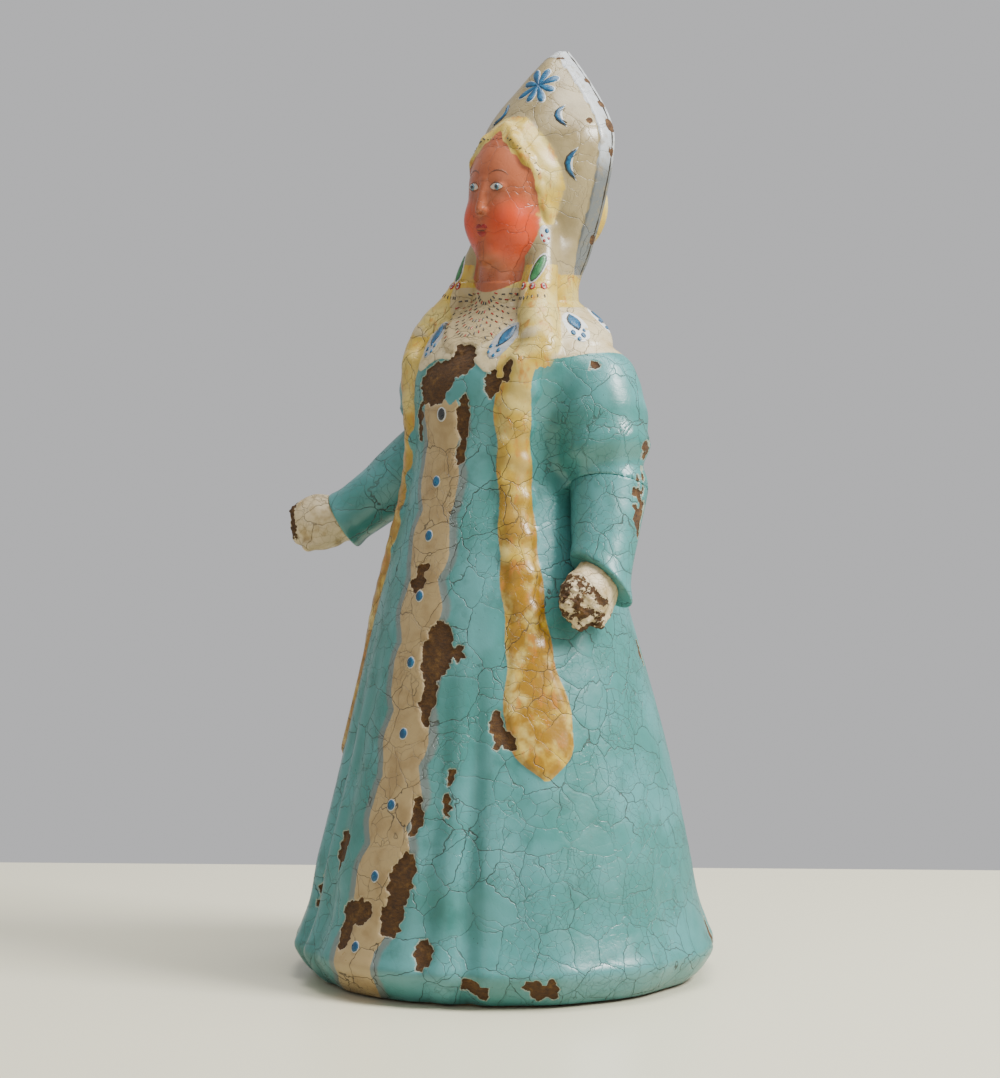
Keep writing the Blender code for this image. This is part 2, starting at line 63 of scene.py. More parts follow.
FRONT_LOW, FRONT_HIGH = box_of("body_front_shell")
BACK_LOW = box_of("body_back_shell")[0]
HEAD_LOW, HEAD_HIGH = box_of("head_front_shell")
TOP_HIGH = box_of("head_back_shell")[1]
SEAM_Y = (FRONT_HIGH[1] + BACK_LOW[1]) / 2
HEM = (FRONT_HIGH[0] - FRONT_LOW[0]) / 2
FOOT_Z = FRONT_LOW[2]
NECK_Z = FRONT_HIGH[2]
HEAD_Z = HEAD_LOW[2]
CROWN_Z = max(HEAD_HIGH[2], TOP_HIGH[2])
BASE_TOP, BASE_RADIUS = box_of("base_disc")[1][2], box_of("base_disc")[1][0]
WALL = 3.6
FLANGE_TOP, FLANGE_BORE = 9.3, 72.0  # the turned-in edge that the base disc is tacked to
TUBE_Y, TUBE_BORE = 16.0, 12.3  # the neck tube's axis and the bore it sits in
TUBE_FOOT, TUBE_TOP = 292.0, 335.0
GAP = 0.03  # half of what the shells leave between them
JOIN = 0.13  # how much each moulding gives towards the other at the neck
FINE = 1.22  # spacing of the body's surface points
HEAD_FINE = 0.62
ARM_FINE = 0.65
COARSE = 3.0  # spacing inside the shells

# Cross sections: height, half width, front and back.
BODY_ROWS = (
    (-3.0, 80.0, -80.0, 80.0),
    (1.2, 87.0, -87.0, 87.0),
    (4.5, 91.0, -91.0, 91.0),
    (9.0, HEM - 2.8, -HEM + 2.8, HEM - 2.8),
    (15.0, HEM, -HEM, HEM),
    (21.0, HEM - 2.3, -HEM + 2.3, HEM - 2.3),
    (30.0, 91.5, -91.5, 91.5),
    (56.0, 86.0, -86.0, 86.0),
    (80.0, 80.5, -79.5, 81.0),
    (103.0, 75.0, -73.5, 75.5),
    (126.0, 69.0, -68.0, 69.0),
    (149.0, 62.5, -63.0, 62.0),
    (172.0, 56.0, -57.5, 55.0),
    (195.0, 49.5, -51.5, 48.5),
    (218.0, 43.5, -45.5, 43.0),
    (240.0, 41.0, -42.0, 40.5),
    (262.0, 44.0, -40.5, 39.5),
    (274.0, 48.0, -38.0, 40.5),
    (285.0, 50.5, -31.5, 41.5),
    (294.0, 47.0, -23.0, 41.0),
    (300.0, 38.5, -16.5, 39.0),
    (306.0, 26.0, -9.0, 34.5),
    (311.0, 8.0, 2.0, 22.0),
)
HAIR_ROWS = (  # the hair that falls round the neck
    (292.0, 30.0, -2.0, 36.0),
    (304.0, 26.5, -6.0, 35.0),
    (314.0, 26.0, -6.0, 35.0),
    (323.0, 25.5, -4.0, 36.0),
    (334.0, 25.0, 0.0, 38.0),
    (344.0, 20.0, 6.0, 36.0),
)
FOLDS = tuple(  # angle from straight ahead, half angle and depth of each valley in the skirt
    (side * angle, half, depth)
    for side in (1, -1)
    for angle, half, depth in (
        (20.0, 3.6, 2.0), (32.0, 3.6, 3.8), (46.0, 5.0, 1.2), (70.0, 8.0, 1.0), (98.0, 8.0, 1.3),
        (131.0, 9.0, 1.5), (164.0, 8.0, 1.2),
    )
)
FOLD_TOP = 185.0

PUFF_LENGTH = 55.0
PUFF_PROFILE = (
    (-8.0, 9.0), (-2.0, 16.4), (8.0, 20.4), (20.0, 21.6), (33.0, 21.6), (42.0, 19.2), (48.0, 15.2),
    (PUFF_LENGTH, 10.5), (70.0, 9.0),
)
ARMS = {
    "left": {
        "shoulder": (44.0, 9.0, 278.0),
        "elbow": (56.0, 8.0, 224.0),
        "cuff": (65.5, -8.5, 184.0),
        "cuff_plane": (-0.15, -0.74, -0.66),
        "hand": (-0.10, -0.78, -0.62),
        "across": (0.95, -0.1, 0.0),
        "worn": 1.0,
        "radii": ((0.0, 17.5), (0.3, 16.1), (0.6, 14.5), (0.85, 13.7), (1.3, 14.2)),
    },
    "right": {
        "shoulder": (-42.5, 10.0, 278.0),
        "elbow": (-52.5, 9.0, 236.0),
        "cuff": (-89.0, -16.0, 204.0),
        "cuff_plane": (-0.72, -0.49, -0.50),
        "hand": (-0.80, -0.60, -0.05),
        "across": (0.60, -0.80, 0.0),
        "worn": -10.5,
        "radii": ((0.0, 18.4), (0.3, 16.4), (0.6, 13.8), (0.85, 13.0), (1.3, 13.8)),
    },
}

# The braids' line: points beside the neck first, then down the front.
BRAID_NECK = (  # left, back, up and radius
    (18.0, 7.0, 339.0, 4.5),
    (19.0, 4.5, 330.0, 5.8),
    (20.5, 2.0, 321.0, 7.0),
    (22.0, -1.0, 312.0, 8.0),
    (26.0, -5.5, 303.0, 8.6),
    (31.0, -11.0, 295.0, 8.8),
)
BRAID_TURN = 278.0  # height at which each braid turns from the shoulder to hang down the front
BRAID_BEARING = 47.0  # degrees from straight ahead at the turn
BRAID_HANG, BRAID_SHOULDER = 0.053, 0.43  # degrees further out per millimetre below it and above it
BRAID_ROWS = (  # height, radius, how proud it stands and its painted half width
    (287.0, 8.8, 4.0, 8.0),
    (262.0, 8.6, 4.2, 8.0),
    (215.0, 8.4, 3.8, 8.0),
    (190.0, 8.6, 3.4, 9.4),
    (165.0, 8.8, 3.0, 9.8),
    (150.0, 9.0, 2.0, 10.8),
    (135.0, 9.0, -0.4, 13.8),
    (120.0, 9.0, -0.8, 15.4),
    (108.0, 9.0, -1.1, 12.0),
    (98.0, 9.0, -1.2, 1.5),
)
BRAID_LOW, PLAIT_LOW, PLAIT_HIGH = 90.0, 148.0, 292.0
STRAND_PITCH = 8.5

# The headdress: height, half width and depth of the dome, on a back that leans.
CREST_FOOT_Y, CREST_FOOT_Z = 25.0, 316.0
CREST_SLOPE = math.tan(math.radians(7.5))
CREST_BACK = 3.2
CREST_ROWS = (
    (308.0, 14.0, 11.0),
    (316.0, 19.5, 16.0),
    (324.0, 24.0, 20.5),
    (334.0, 27.2, 24.0),
    (346.0, 30.4, 27.0),
    (358.0, 32.7, 29.5),
    (372.0, 34.3, 31.5),
    (385.0, 33.0, 30.5),
    (394.0, 27.8, 25.8),
    (403.0, 20.3, 19.6),
    (412.0, 11.8, 13.8),
    (418.0, 5.6, 8.4),
    (421.0, 2.2, 3.4),
    (CROWN_Z + 1.0, 1.0, 1.0),
)


# ---------------------------------------------------------------- distance fields

def curve(rows, column):
    """A smooth function through one column of the rows, against their first."""
    xs = np.array([row[0] for row in rows], dtype=np.float64)
    ys = np.array([row[column] for row in rows], dtype=np.float64)
    slopes = np.gradient(ys, xs)

    def value(at):
        at = np.clip(at, xs[0], xs[-1])
        i = np.clip(np.searchsorted(xs, at) - 1, 0, len(xs) - 2)
        span = xs[i + 1] - xs[i]
        t = (at - xs[i]) / span
        square, cube = t * t, t * t * t
        return (
            (2 * cube - 3 * square + 1) * ys[i] + (cube - 2 * square + t) * span * slopes[i]
            + (3 * square - 2 * cube) * ys[i + 1] + (cube - square) * span * slopes[i + 1]
        )

    return value


def blend_union(a, b, width):
    share = np.clip(0.5 + 0.5 * (b - a) / width, 0, 1)
    return b + (a - b) * share - width * share * (1 - share)


def blend_cut(a, b, width):
    return -blend_union(-a, b, width)


def ellipsoid(p, centre, radii):
    q = (p - np.array(centre)) / np.array(radii)
    outer = np.linalg.norm(q, axis=1)
    inner = np.linalg.norm(q / np.array(radii), axis=1)
    return outer * (outer - 1) / np.maximum(inner, 1e-6)


def rod(p, start, end, radius_a, radius_b):
    start, end = np.array(start, dtype=np.float64), np.array(end, dtype=np.float64)
    line = end - start
    t = np.clip((p - start) @ line / (line @ line), 0, 1)
    return np.linalg.norm(p - start - t[:, None] * line, axis=1) - (radius_a + (radius_b - radius_a) * t)


def near(p, low, high):
    """The points inside a box, as an index array."""
    return np.flatnonzero(np.all((p > np.array(low)) & (p < np.array(high)), axis=1))


def smoothstep(low, high, value):
    t = np.clip((value - low) / (high - low), 0, 1)
    return t * t * (3 - 2 * t)


def ripple(p, size, seed):
    """Smooth noise between -1 and 1, from a few turned sine waves."""
    rng = np.random.default_rng(seed)
    total = np.zeros(len(p))
    for _ in range(5):
        way = rng.normal(size=3)
        way /= np.linalg.norm(way)
        total += np.sin(p @ way * (2 * math.pi / (size * rng.uniform(0.7, 1.5))) + rng.uniform(0, 6.28))
    return total / 5


class Loft:
    """A solid of elliptical cross sections."""

    def __init__(self, rows):
        self.rows = rows
        self.half, self.front, self.back = (curve(rows, column) for column in (1, 2, 3))

    def section(self, z):
        half, front, back = self.half(z), self.front(z), self.back(z)
        return half, (front + back) / 2, (back - front) / 2

    def field(self, p):
        half, middle, depth = self.section(p[:, 2])
        x, y = p[:, 0], p[:, 1] - middle
        radius = np.hypot(x, y)
        share = np.hypot(x / half, y / depth)
        side = radius - radius / np.maximum(share, 1e-3)
        return np.maximum(side, np.maximum(self.rows[0][0] - p[:, 2], p[:, 2] - self.rows[-1][0]))

    def angle(self, p):
        _, middle, _ = self.section(p[:, 2])
        return np.degrees(np.arctan2(p[:, 0], middle - p[:, 1]))

    def bearing(self, z, degrees):
        """The section's own angle for a direction seen from its middle."""
        half, _, depth = (float(value) for value in self.section(z))
        angle = math.radians(degrees)
        return math.degrees(math.atan2(math.sin(angle) / half, math.cos(angle) / depth))

    def point(self, z, degrees, inset=0.0):
        half, middle, depth = (float(value) for value in self.section(z))
        angle = math.radians(degrees)
        return np.array((
            (half - inset) * math.sin(angle), middle - (depth - inset) * math.cos(angle), z
        ))


BODY = Loft(BODY_ROWS)
NECK_HAIR = Loft(HAIR_ROWS)
CREST_HALF, CREST_DEPTH = curve(CREST_ROWS, 1), curve(CREST_ROWS, 2)
PUFF_RADIUS = curve(PUFF_PROFILE, 1)


def braid_bearing(z):
    """Degrees from straight ahead that the braid lies at."""
    below, above = np.maximum(BRAID_TURN - z, 0), np.maximum(z - BRAID_TURN, 0)
    return BRAID_BEARING + BRAID_HANG * below + BRAID_SHOULDER * above


def braid_line():
    """Points down the left braid, each with its radius."""
    rows = {column: curve([(-row[0], *row[1:]) for row in BRAID_ROWS], column) for column in (1, 2)}
    points = [np.array(point) for point in BRAID_NECK]
    for z in np.arange(BRAID_ROWS[0][0], BRAID_ROWS[-1][0] - 0.1, -3.0):
        radius, proud = (float(rows[column](-z)) for column in (1, 2))
        points.append(np.array((*BODY.point(z, braid_bearing(z), inset=radius - proud), radius)))
    return points


BRAID = braid_line()


def strand_lumps():
    """The plaited strands, as balls to the left and right of the braid's line in turn."""
    lumps = []
    travelled, side, following = 0.0, 1, 4.0
    for start, end in zip(BRAID, BRAID[1:]):
        step = np.linalg.norm(end[:3] - start[:3])
        while following < travelled + step:
            place = start + (end - start) * (following - travelled) / step
            if PLAIT_LOW < place[2] < PLAIT_HIGH:
                along = (end[:3] - start[:3]) / step
                out = np.array((place[0], place[1] - 5.0, 0.0))
                out /= np.linalg.norm(out)
                across = np.cross(along, out)
                lumps.append((place[:3] + across * side * 2.9 + out * 1.9, place[3] * 0.78))
            side = -side
            following += STRAND_PITCH
        travelled += step
    return lumps


LUMPS = strand_lumps()


def mirrored(p):
    q = p.copy()
    q[:, 0] = np.abs(q[:, 0])
    return q


def braid_reach(p):
    """Distance inside the braid's round section, positive within it."""
    q = mirrored(p)
    best = np.full(len(p), -50.0)
    for start, end in zip(BRAID, BRAID[1:]):
        low = np.minimum(start[:3], end[:3]) - 24
        high = np.maximum(start[:3], end[:3]) + 24
        rows = near(q, low, high)
        best[rows] = np.maximum(best[rows], -rod(q[rows], start[:3], end[:3], start[3], end[3]))
    return best


braid_half = curve([(-row[0], *row[1:]) for row in BRAID_ROWS], 3)


def braid_painted(p):
    """Millimetres inside the braid's painted outline, positive within it."""
    q = mirrored(p)
    offset = np.radians(BODY.angle(q) - braid_bearing(q[:, 2])) * np.hypot(q[:, 0], q[:, 1])
    low = braid_half(-q[:, 2]) - np.abs(offset) + 0.5 * np.sin(q[:, 2] / 4.0)
    low = np.minimum(low, np.minimum(q[:, 2] - BRAID_ROWS[-1][0], BRAID_ROWS[0][0] + 4.0 - q[:, 2]))
    high = np.where(q[:, 2] > BRAID_TURN, braid_reach(p) + 1.0, -10.0)
    return np.maximum(high, low)


def braid_field(p):
    q = mirrored(p)
    total = -braid_reach(p)
    for centre, radius in LUMPS:
        rows = near(q, centre - 16, centre + 16)
        lump = np.linalg.norm(q[rows] - centre, axis=1) - radius
        total[rows] = blend_union(total[rows], lump, 1.6)
    return total


def unit(vector):
    vector = np.array(vector, dtype=np.float64)
    return vector / np.linalg.norm(vector)


def puff_field(p, arm):
    shoulder, elbow = np.array(arm["shoulder"]), np.array(arm["elbow"])
    cuff = np.array(arm["cuff"])
    length = np.linalg.norm(elbow - shoulder)
    axis = (elbow - shoulder) / length
    along = (p - shoulder) @ axis
    away = p - shoulder - along[:, None] * axis
    radial = np.linalg.norm(away, axis=1)
    turn = np.arctan2(away[:, 1], away[:, 0])
    along = along + PUFF_LENGTH - length
    gathers = smoothstep(28, 46, along) * 0.5 * np.sin(7 * turn + 0.12 * along)
    folds = smoothstep(10, 36, along) * 0.85 * np.sin(0.33 * along + 2.4 * np.sin(turn + 2.2))
    side = radial - PUFF_RADIUS(along) - gathers - folds
    line = (cuff - elbow) / np.linalg.norm(cuff - elbow)
    radius = arm["radii"][0][1]
    sleeve = rod(p, elbow, elbow + line * 8, radius, radius) - 0.25 * ripple(p, 14.0, 8)
    side = blend_union(side, sleeve, 5)
    return np.maximum(np.maximum(side, -8.0 - along), (p - elbow) @ line)


def crest_plane(p):
    """Distance behind the headdress's leaning plane."""
    return p[:, 1] - (CREST_FOOT_Y + (p[:, 2] - CREST_FOOT_Z) * CREST_SLOPE)


def crest_field(p):
    half, depth = CREST_HALF(p[:, 2]), CREST_DEPTH(p[:, 2])
    behind = crest_plane(p)
    front = np.minimum(behind, 0)
    radius = np.hypot(p[:, 0], front)
    share = np.hypot(p[:, 0] / half, front / depth)
    dome = (radius - radius / np.maximum(share, 1e-3)) * 0.85
    dome = np.maximum(dome, np.maximum(CREST_ROWS[0][0] - p[:, 2], p[:, 2] - CROWN_Z + 0.4))
    lip = 0.7 * smoothstep(-7.4, -6.4, behind)
    return -blend_union(-(dome - lip), -(behind - CREST_BACK), 2.2)


def face_field(p):
    """A calm doll's face: an oval and a jaw, with chin, cheeks, eyes, nose and lips blended in."""
    q = mirrored(p)
    total = ellipsoid(p, (0, 4.0, 357.5), (19.8, 18.6, 26.0))
    total = blend_union(total, ellipsoid(p, (0, 0.4, 340.5), (19.0, 16.0, 17.0)), 7)
    total = blend_union(total, ellipsoid(p, (0, -10.4, 328.8), (6.0, 5.0, 4.6)), 5)
    total = blend_union(total, ellipsoid(q, (8.4, -7.6, 344.0), (6.4, 5.4, 7.0)), 5)
    total = blend_cut(total, ellipsoid(q, (7.3, -17.6, 359.0), (5.0, 3.8, 3.4)), 2.6)
    total = blend_union(total, ellipsoid(q, (7.4, -10.3, 358.8), (3.8, 3.6, 2.5)), 0.8)
    total = blend_union(total, rod(p, (0, -12.8, 361.5), (0, -16.8, 348.8), 1.5, 2.1), 2.2)
    total = blend_union(total, ellipsoid(q, (2.0, -14.8, 347.9), (1.5, 2.0, 1.4)), 1.2)
    total = blend_union(total, ellipsoid(q, (1.5, -13.5, 340.2), (2.9, 2.1, 1.05)), 0.9)
    return blend_union(total, ellipsoid(p, (0, -13.3, 338.1), (3.4, 2.1, 1.2)), 0.7)


HAIR_ROLL = (  # the thick edge of the hair, from the parting down to the ear
    ((0.0, 1.6, 385.8), 3.2),
    ((8.0, -2.4, 379.0), 3.5),
    ((15.0, -1.7, 370.0), 3.6),
    ((18.6, 1.6, 358.5), 3.5),
    ((19.6, 6.4, 346.5), 3.0),
)


def hair_cap_field(p):
    q = mirrored(p)
    total = ellipsoid(p, (0, 14.0, 361.5), (25.0, 25.4, 30.0))
    for (start, wide), (end, narrow) in zip(HAIR_ROLL, HAIR_ROLL[1:]):
        total = blend_union(total, rod(q, start, end, wide, narrow), 1.6)
    wave = np.sin(q[:, 2] * 0.35 + q[:, 0] * 0.55) + 0.5 * np.sin(q[:, 2] * 0.9 + q[:, 0] * 1.2)
    return total - 0.2 * wave * smoothstep(330, 345, p[:, 2])


def chignon_field(p):
    """The knot of hair behind the headdress, wound in a spiral."""
    across, up = p[:, 0], p[:, 2] - 350.0
    coil = np.sin(2.0 * np.arctan2(up, across) + 0.62 * np.hypot(across, up))
    return ellipsoid(p, (0, 35.0, 350.0), (25.0, 22.5, 24.5)) + 0.45 - 0.45 * coil


def head_field(p):
    total = NECK_HAIR.field(p)
    total = blend_union(total, crest_field(p), 2.4)
    total = blend_union(total, chignon_field(p), 2.5)
    total = blend_union(total, hair_cap_field(p), 1.6)
    throat = rod(p, (0, 5.0, 302.0), (0, 4.0, 332.0), 18.0, 14.0)
    return blend_union(total, blend_union(throat, face_field(p), 5), 1.0)


def bib_reach(p):
    """Share of the bib's outline at a point: 0 at its middle, 1 at its edge."""
    return np.hypot(p[:, 0] / 22.5, (p[:, 2] - 311.5) / 27.0)


def figure_field(p):
    """The whole figure but its forearms and hands."""
    total = np.full(len(p), 60.0)
    rows = np.flatnonzero(p[:, 2] < 318)
    body = p[rows]
    skin = BODY.field(body)
    angle = BODY.angle(body)
    strength = smoothstep(FOLD_TOP, 40.0, body[:, 2])
    for degrees, width, depth in FOLDS:
        offset = (angle - degrees + 180) % 360 - 180
        skin += strength * depth * np.exp(-((offset / width) ** 2))
    skin += 0.35 * ripple(body, 38.0, 3) + 0.12 * ripple(body, 11.0, 4)
    tail = np.flatnonzero((body[:, 2] < 165.0) & (body[:, 2] > BRAID_LOW) & (body[:, 1] < 0.0))
    skin[tail] -= 1.7 * smoothstep(-0.6, 3.6, braid_painted(body[tail]))
    total[rows] = skin
    for arm in ARMS.values():
        low = np.minimum(arm["shoulder"], arm["elbow"]) - 30
        high = np.maximum(arm["shoulder"], arm["elbow"]) + 30
        rows = near(p, low, high)
        total[rows] = blend_union(total[rows], puff_field(p[rows], arm), 7)
    rows = np.flatnonzero(p[:, 2] > 286)
    total[rows] = blend_union(total[rows], head_field(p[rows]), 6)
    rows = near(p, (-75, -90, BRAID_LOW), (75, 30, 350))
    reach = 1.2 + 4.0 * smoothstep(298, 312, p[rows][:, 2])
    total[rows] = blend_union(total[rows], braid_field(p[rows]), reach)
    rows = near(p, (-30, -60, 280), (30, 5, 316))
    edge = bib_reach(p[rows])
    raised = 0.8 * smoothstep(1.03, 0.99, edge) + 0.5 * np.exp(-(((edge - 0.88) / 0.05) ** 2))
    total[rows] -= raised * smoothstep(-4.0, -7.0, p[rows][:, 1])
    return total


def forearm_field(arm):
    elbow, cuff = np.array(arm["elbow"]), np.array(arm["cuff"])
    length = np.linalg.norm(cuff - elbow)
    line = (cuff - elbow) / length
    plane = unit(arm["cuff_plane"])
    radius = curve(arm["radii"], 1)

    def field(p):
        along = (p - elbow) @ line
        away = p - elbow - along[:, None] * line
        radial = np.linalg.norm(away, axis=1)
        end = (p - cuff) @ plane
        flare = 0.7 * smoothstep(-7.0, -1.0, end)
        side = radial - radius(along / length) - flare - 0.25 * ripple(p, 14.0, 8)
        solid = -blend_union(-side, -end, 1.2)
        solid = np.maximum(solid, 2 * GAP - along)
        solid = np.maximum(solid, -(BODY.field(p) - 0.6))
        spigot = np.maximum(radial - 11.3, np.maximum(-8.8 - along, along - 3.0))
        solid = np.minimum(solid, spigot)
        bore = np.maximum(radial - 6.8, length - 9.0 - along)
        return np.maximum(solid, -bore)

    low = np.minimum(elbow, cuff) - 27
    high = np.maximum(elbow, cuff) + 27
    return field, low, high


def hand_field(arm):
    elbow, cuff = np.array(arm["elbow"]), np.array(arm["cuff"])
    line, plane, point = unit(cuff - elbow), unit(arm["cuff_plane"]), unit(arm["hand"])
    across = unit(np.array(arm["across"]) - point * (np.array(arm["across"]) @ point))
    flat = np.cross(point, across)
    centre = cuff + point * 12.6

    def field(p):
        q = p - centre
        local = np.stack((q @ across, q @ flat, q @ point), axis=1)
        palm = ellipsoid(local, (0, 0, -1.0), (10.0, 13.2, 13.2))
        for i in range(4):
            side = (i - 1.5) * 4.8
            palm = blend_union(palm, rod(local, (0.4, side, -3.0), (1.4, side * 0.82, 8.6), 4.5, 3.9), 1.6)
        palm = blend_union(palm, rod(local, (3.0, -7.2, -7.0), (6.4, -9.8, 3.0), 4.5, 3.5), 1.8)
        wrist = rod(p, cuff - line * 3, cuff + point * 8, 11.0, 10.4)
        palm = blend_union(palm, wrist, 4)
        palm = palm + 0.35 * ripple(p, 8.0, 12)
        worn = smoothstep(-3.0, 2.0, arm["worn"] + 2.4 * ripple(p, 9.0, 31) + local[:, 2])
        palm = palm + worn * (0.6 + 0.8 * ripple(p, 4.2, 21) + 0.5 * ripple(p, 2.3, 22))
        palm = np.maximum(palm, 2 * GAP - (p - cuff) @ plane)
        palm = np.maximum(palm, -(BODY.field(p) - 0.6))
        along = (p - cuff) @ line
        radial = np.linalg.norm(p - cuff - along[:, None] * line, axis=1)
        tenon = np.maximum(radial - 6.5, np.maximum(-8.0 - along, along - 3.0))
        return np.minimum(palm, tenon)

    low = np.minimum(cuff, centre) - 20
    high = np.maximum(cuff, centre) + 20
    return field, low, high


def hand_worn(arm):
    """How far a point lies inside the worn finger ends."""
    centre = np.array(arm["cuff"]) + unit(arm["hand"]) * 11.0

    def reach(p):
        along = (p - centre) @ unit(arm["hand"])
        return arm["worn"] + along + 2.4 * ripple(p, 9.0, 31)

    return reach


def cavity_field(p):
    """The hollow inside the body shells, with the skirt's mouth and the neck's bore."""
    inside = figure_field(p) + WALL
    inside = np.maximum(inside, np.maximum(FLANGE_TOP - p[:, 2], p[:, 2] - NECK_Z + WALL))
    mouth = np.maximum(np.hypot(p[:, 0], p[:, 1]) - FLANGE_BORE, p[:, 2] - 12.0)
    recess = np.maximum(np.hypot(p[:, 0], p[:, 1]) - BASE_RADIUS - 0.8, p[:, 2] - BASE_TOP - 0.6)
    mouth = np.minimum(mouth, recess)
    bore = np.maximum(np.hypot(p[:, 0], p[:, 1] - TUBE_Y) - TUBE_BORE, TUBE_FOOT - p[:, 2])
    return np.minimum(np.minimum(inside, mouth), bore)


def head_cavity_field(p):
    inside = np.maximum(head_field(p) + WALL, HEAD_Z + 8 - p[:, 2])
    bore = np.maximum(np.hypot(p[:, 0], p[:, 1] - TUBE_Y) - TUBE_BORE, p[:, 2] - TUBE_TOP)
    return np.minimum(inside, bore)


# ---------------------------------------------------------------- painted areas

# Where the paint has come off: angle from straight ahead, height, half width, half height, and lean,
# all but the first in millimetres. The flakes that chip_seeds() scatters make each edge ragged.
BARE_PATCHES = (
    # under the bib
    (-10, 271, 13, 10, 0.2), (8, 281, 10, 7, 0.1), (34, 271, 4, 6, 0.0), (43, 276, 2.5, 4, 0.0),
    # beside the trim's upper end
    (16, 256, 3, 10, 0.0), (15, 240, 2, 5, 0.0), (-25, 253, 3, 10, 0.0),
    # across the trim and down its left edge
    (-2, 185, 4, 7, 0.1), (14, 153, 8, 13, 0.1), (12, 133, 4, 13, 0.1), (24, 152, 2, 4, 0.0),
    (13, 82, 3, 9, 0.0), (11, 54, 6, 13, 0.1), (9, 38, 6, 9, 0.1), (-4, 38, 9, 6, 0.3), (-7, 28, 4, 7, 0.0),
    # skirt, right of the trim
    (-18, 63, 5, 9, 0.0), (-32, 43, 4, 10, 0.1),
    # skirt, left of the trim, and beside the braid's tuft
    (20, 24, 4, 6, 0.0), (40, 120, 3, 8, 0.0), (44, 114, 3, 4, 0.0), (24, 100, 2, 4, 0.0),
    (23, 89, 2, 6, 0.0),
    # hem
    (35, 8, 6, 4, -0.2), (53, 9, 8, 4, -0.2), (-59, 10, 4, 5, 0.0), (126, 20, 8, 10, 0.2),
    # left side and back
    (127, 66, 3, 8, 0.0), (128, 46, 3, 10, 0.0), (123, 148, 3, 6, 0.0), (148, 128, 2, 5, 0.0),
    (171, 205, 3, 6, 0.0), (177, 11, 6, 6, 0.0), (-115, 79, 4, 7, 0.0), (-149, 23, 5, 8, 0.0),
)
SLEEVE_CHIPS = (  # arm, where from its elbow, and reach of the worn strips on the sleeves
    ("left", (16, 8, 13), (4.5, 5.5, 10.0)),
    ("left", (18, 0, -8), (4.5, 4.5, 14.0)),
    ("left", (2, -12, 55), (6.0, 3.6, 1.7)),
    ("right", (-13, 13, 10), (6.0, 4.0, 9.0)),
)
RIM_CHIPS = (  # side, height, how far ahead of the headdress's back, and reach
    (1, 389, 10, (1.2, 2.0, 1.9)), (1, 386, 0, (2.0, 2.6, 5.5)), (1, 396, 0, (1.4, 2.0, 3.0)),
    (1, 375, 0, (1.3, 2.0, 3.0)), (1, 407, 0, (1.3, 2.0, 2.4)), (-1, 393, 0, (1.5, 2.4, 4.0)),
    (1, 336, 0, (1.3, 2.0, 3.2)),
)
HEAD_CHIPS = (  # centre and reach of the rest: throat, tip, bun and the headdress's back
    ((22.0, -1.0, 320.0), (4.5, 2.0, 0.7)),
    ((4.0, 34.0, 418.0), (1.6, 3.0, 0.8)),
    ((12.0, 57.0, 352.0), (1.6, 3.0, 1.4)),
    ((-9.0, 38.0, 386.0), (2.2, 3.0, 1.6)),
)
CHIP_SIZE = 3.3
CHIP_DEPTH = 0.85


def crest_place(side, z, ahead):
    """A point on the headdress's dome, some way ahead of its flat back."""
    half, depth = float(CREST_HALF(z)), float(CREST_DEPTH(z))
    x = side * half * math.sqrt(max(1 - (ahead / depth) ** 2, 0.0))
    return x, CREST_FOOT_Y + (z - CREST_FOOT_Z) * CREST_SLOPE - ahead, float(z)


def inside_patch(patch, angle, z):
    middle, height, wide, tall, lean = patch
    across = math.radians(angle - middle) * float(BODY.half(height))
    up = z - height
    return ((across - lean * up) / wide) ** 2 + (up / tall) ** 2 < 1


def chip_seeds():
    """Centres of the paint's flakes near the bare patches, and whether each has come off."""
    rng = random.Random(11)
    seeds = []
    for middle, height, wide, tall, lean in BARE_PATCHES:
        step = math.degrees(CHIP_SIZE / float(BODY.half(height)))
        columns = int((wide + abs(lean) * tall) / CHIP_SIZE) + 4
        rows = int(tall / CHIP_SIZE) + 4
        for i in range(-columns, columns + 1):
            for j in range(-rows, rows + 1):
                angle = middle + (i + rng.uniform(-0.45, 0.45)) * step
                z = height + (j + rng.uniform(-0.45, 0.45)) * CHIP_SIZE
                level = max(z, 1.0)
                place = BODY.point(level, BODY.bearing(level, angle))
                seeds.append((place, any(inside_patch(patch, angle, z) for patch in BARE_PATCHES)))
    for side, offset, reach in SLEEVE_CHIPS:
        centre = np.array(ARMS[side]["elbow"]) + offset
        count = [int(size / CHIP_SIZE) + 3 for size in reach]
        for i in range(-count[0], count[0] + 1):
            for j in range(-count[1], count[1] + 1):
                for k in range(-count[2], count[2] + 1):
                    jitter = np.array([rng.uniform(-0.45, 0.45) for _ in range(3)])
                    shift = (np.array((i, j, k)) + jitter) * CHIP_SIZE
                    gone = np.linalg.norm(shift / np.array(reach)) < 1
                    seeds.append((centre + shift, bool(gone)))
    return seeds


SEEDS = chip_seeds()


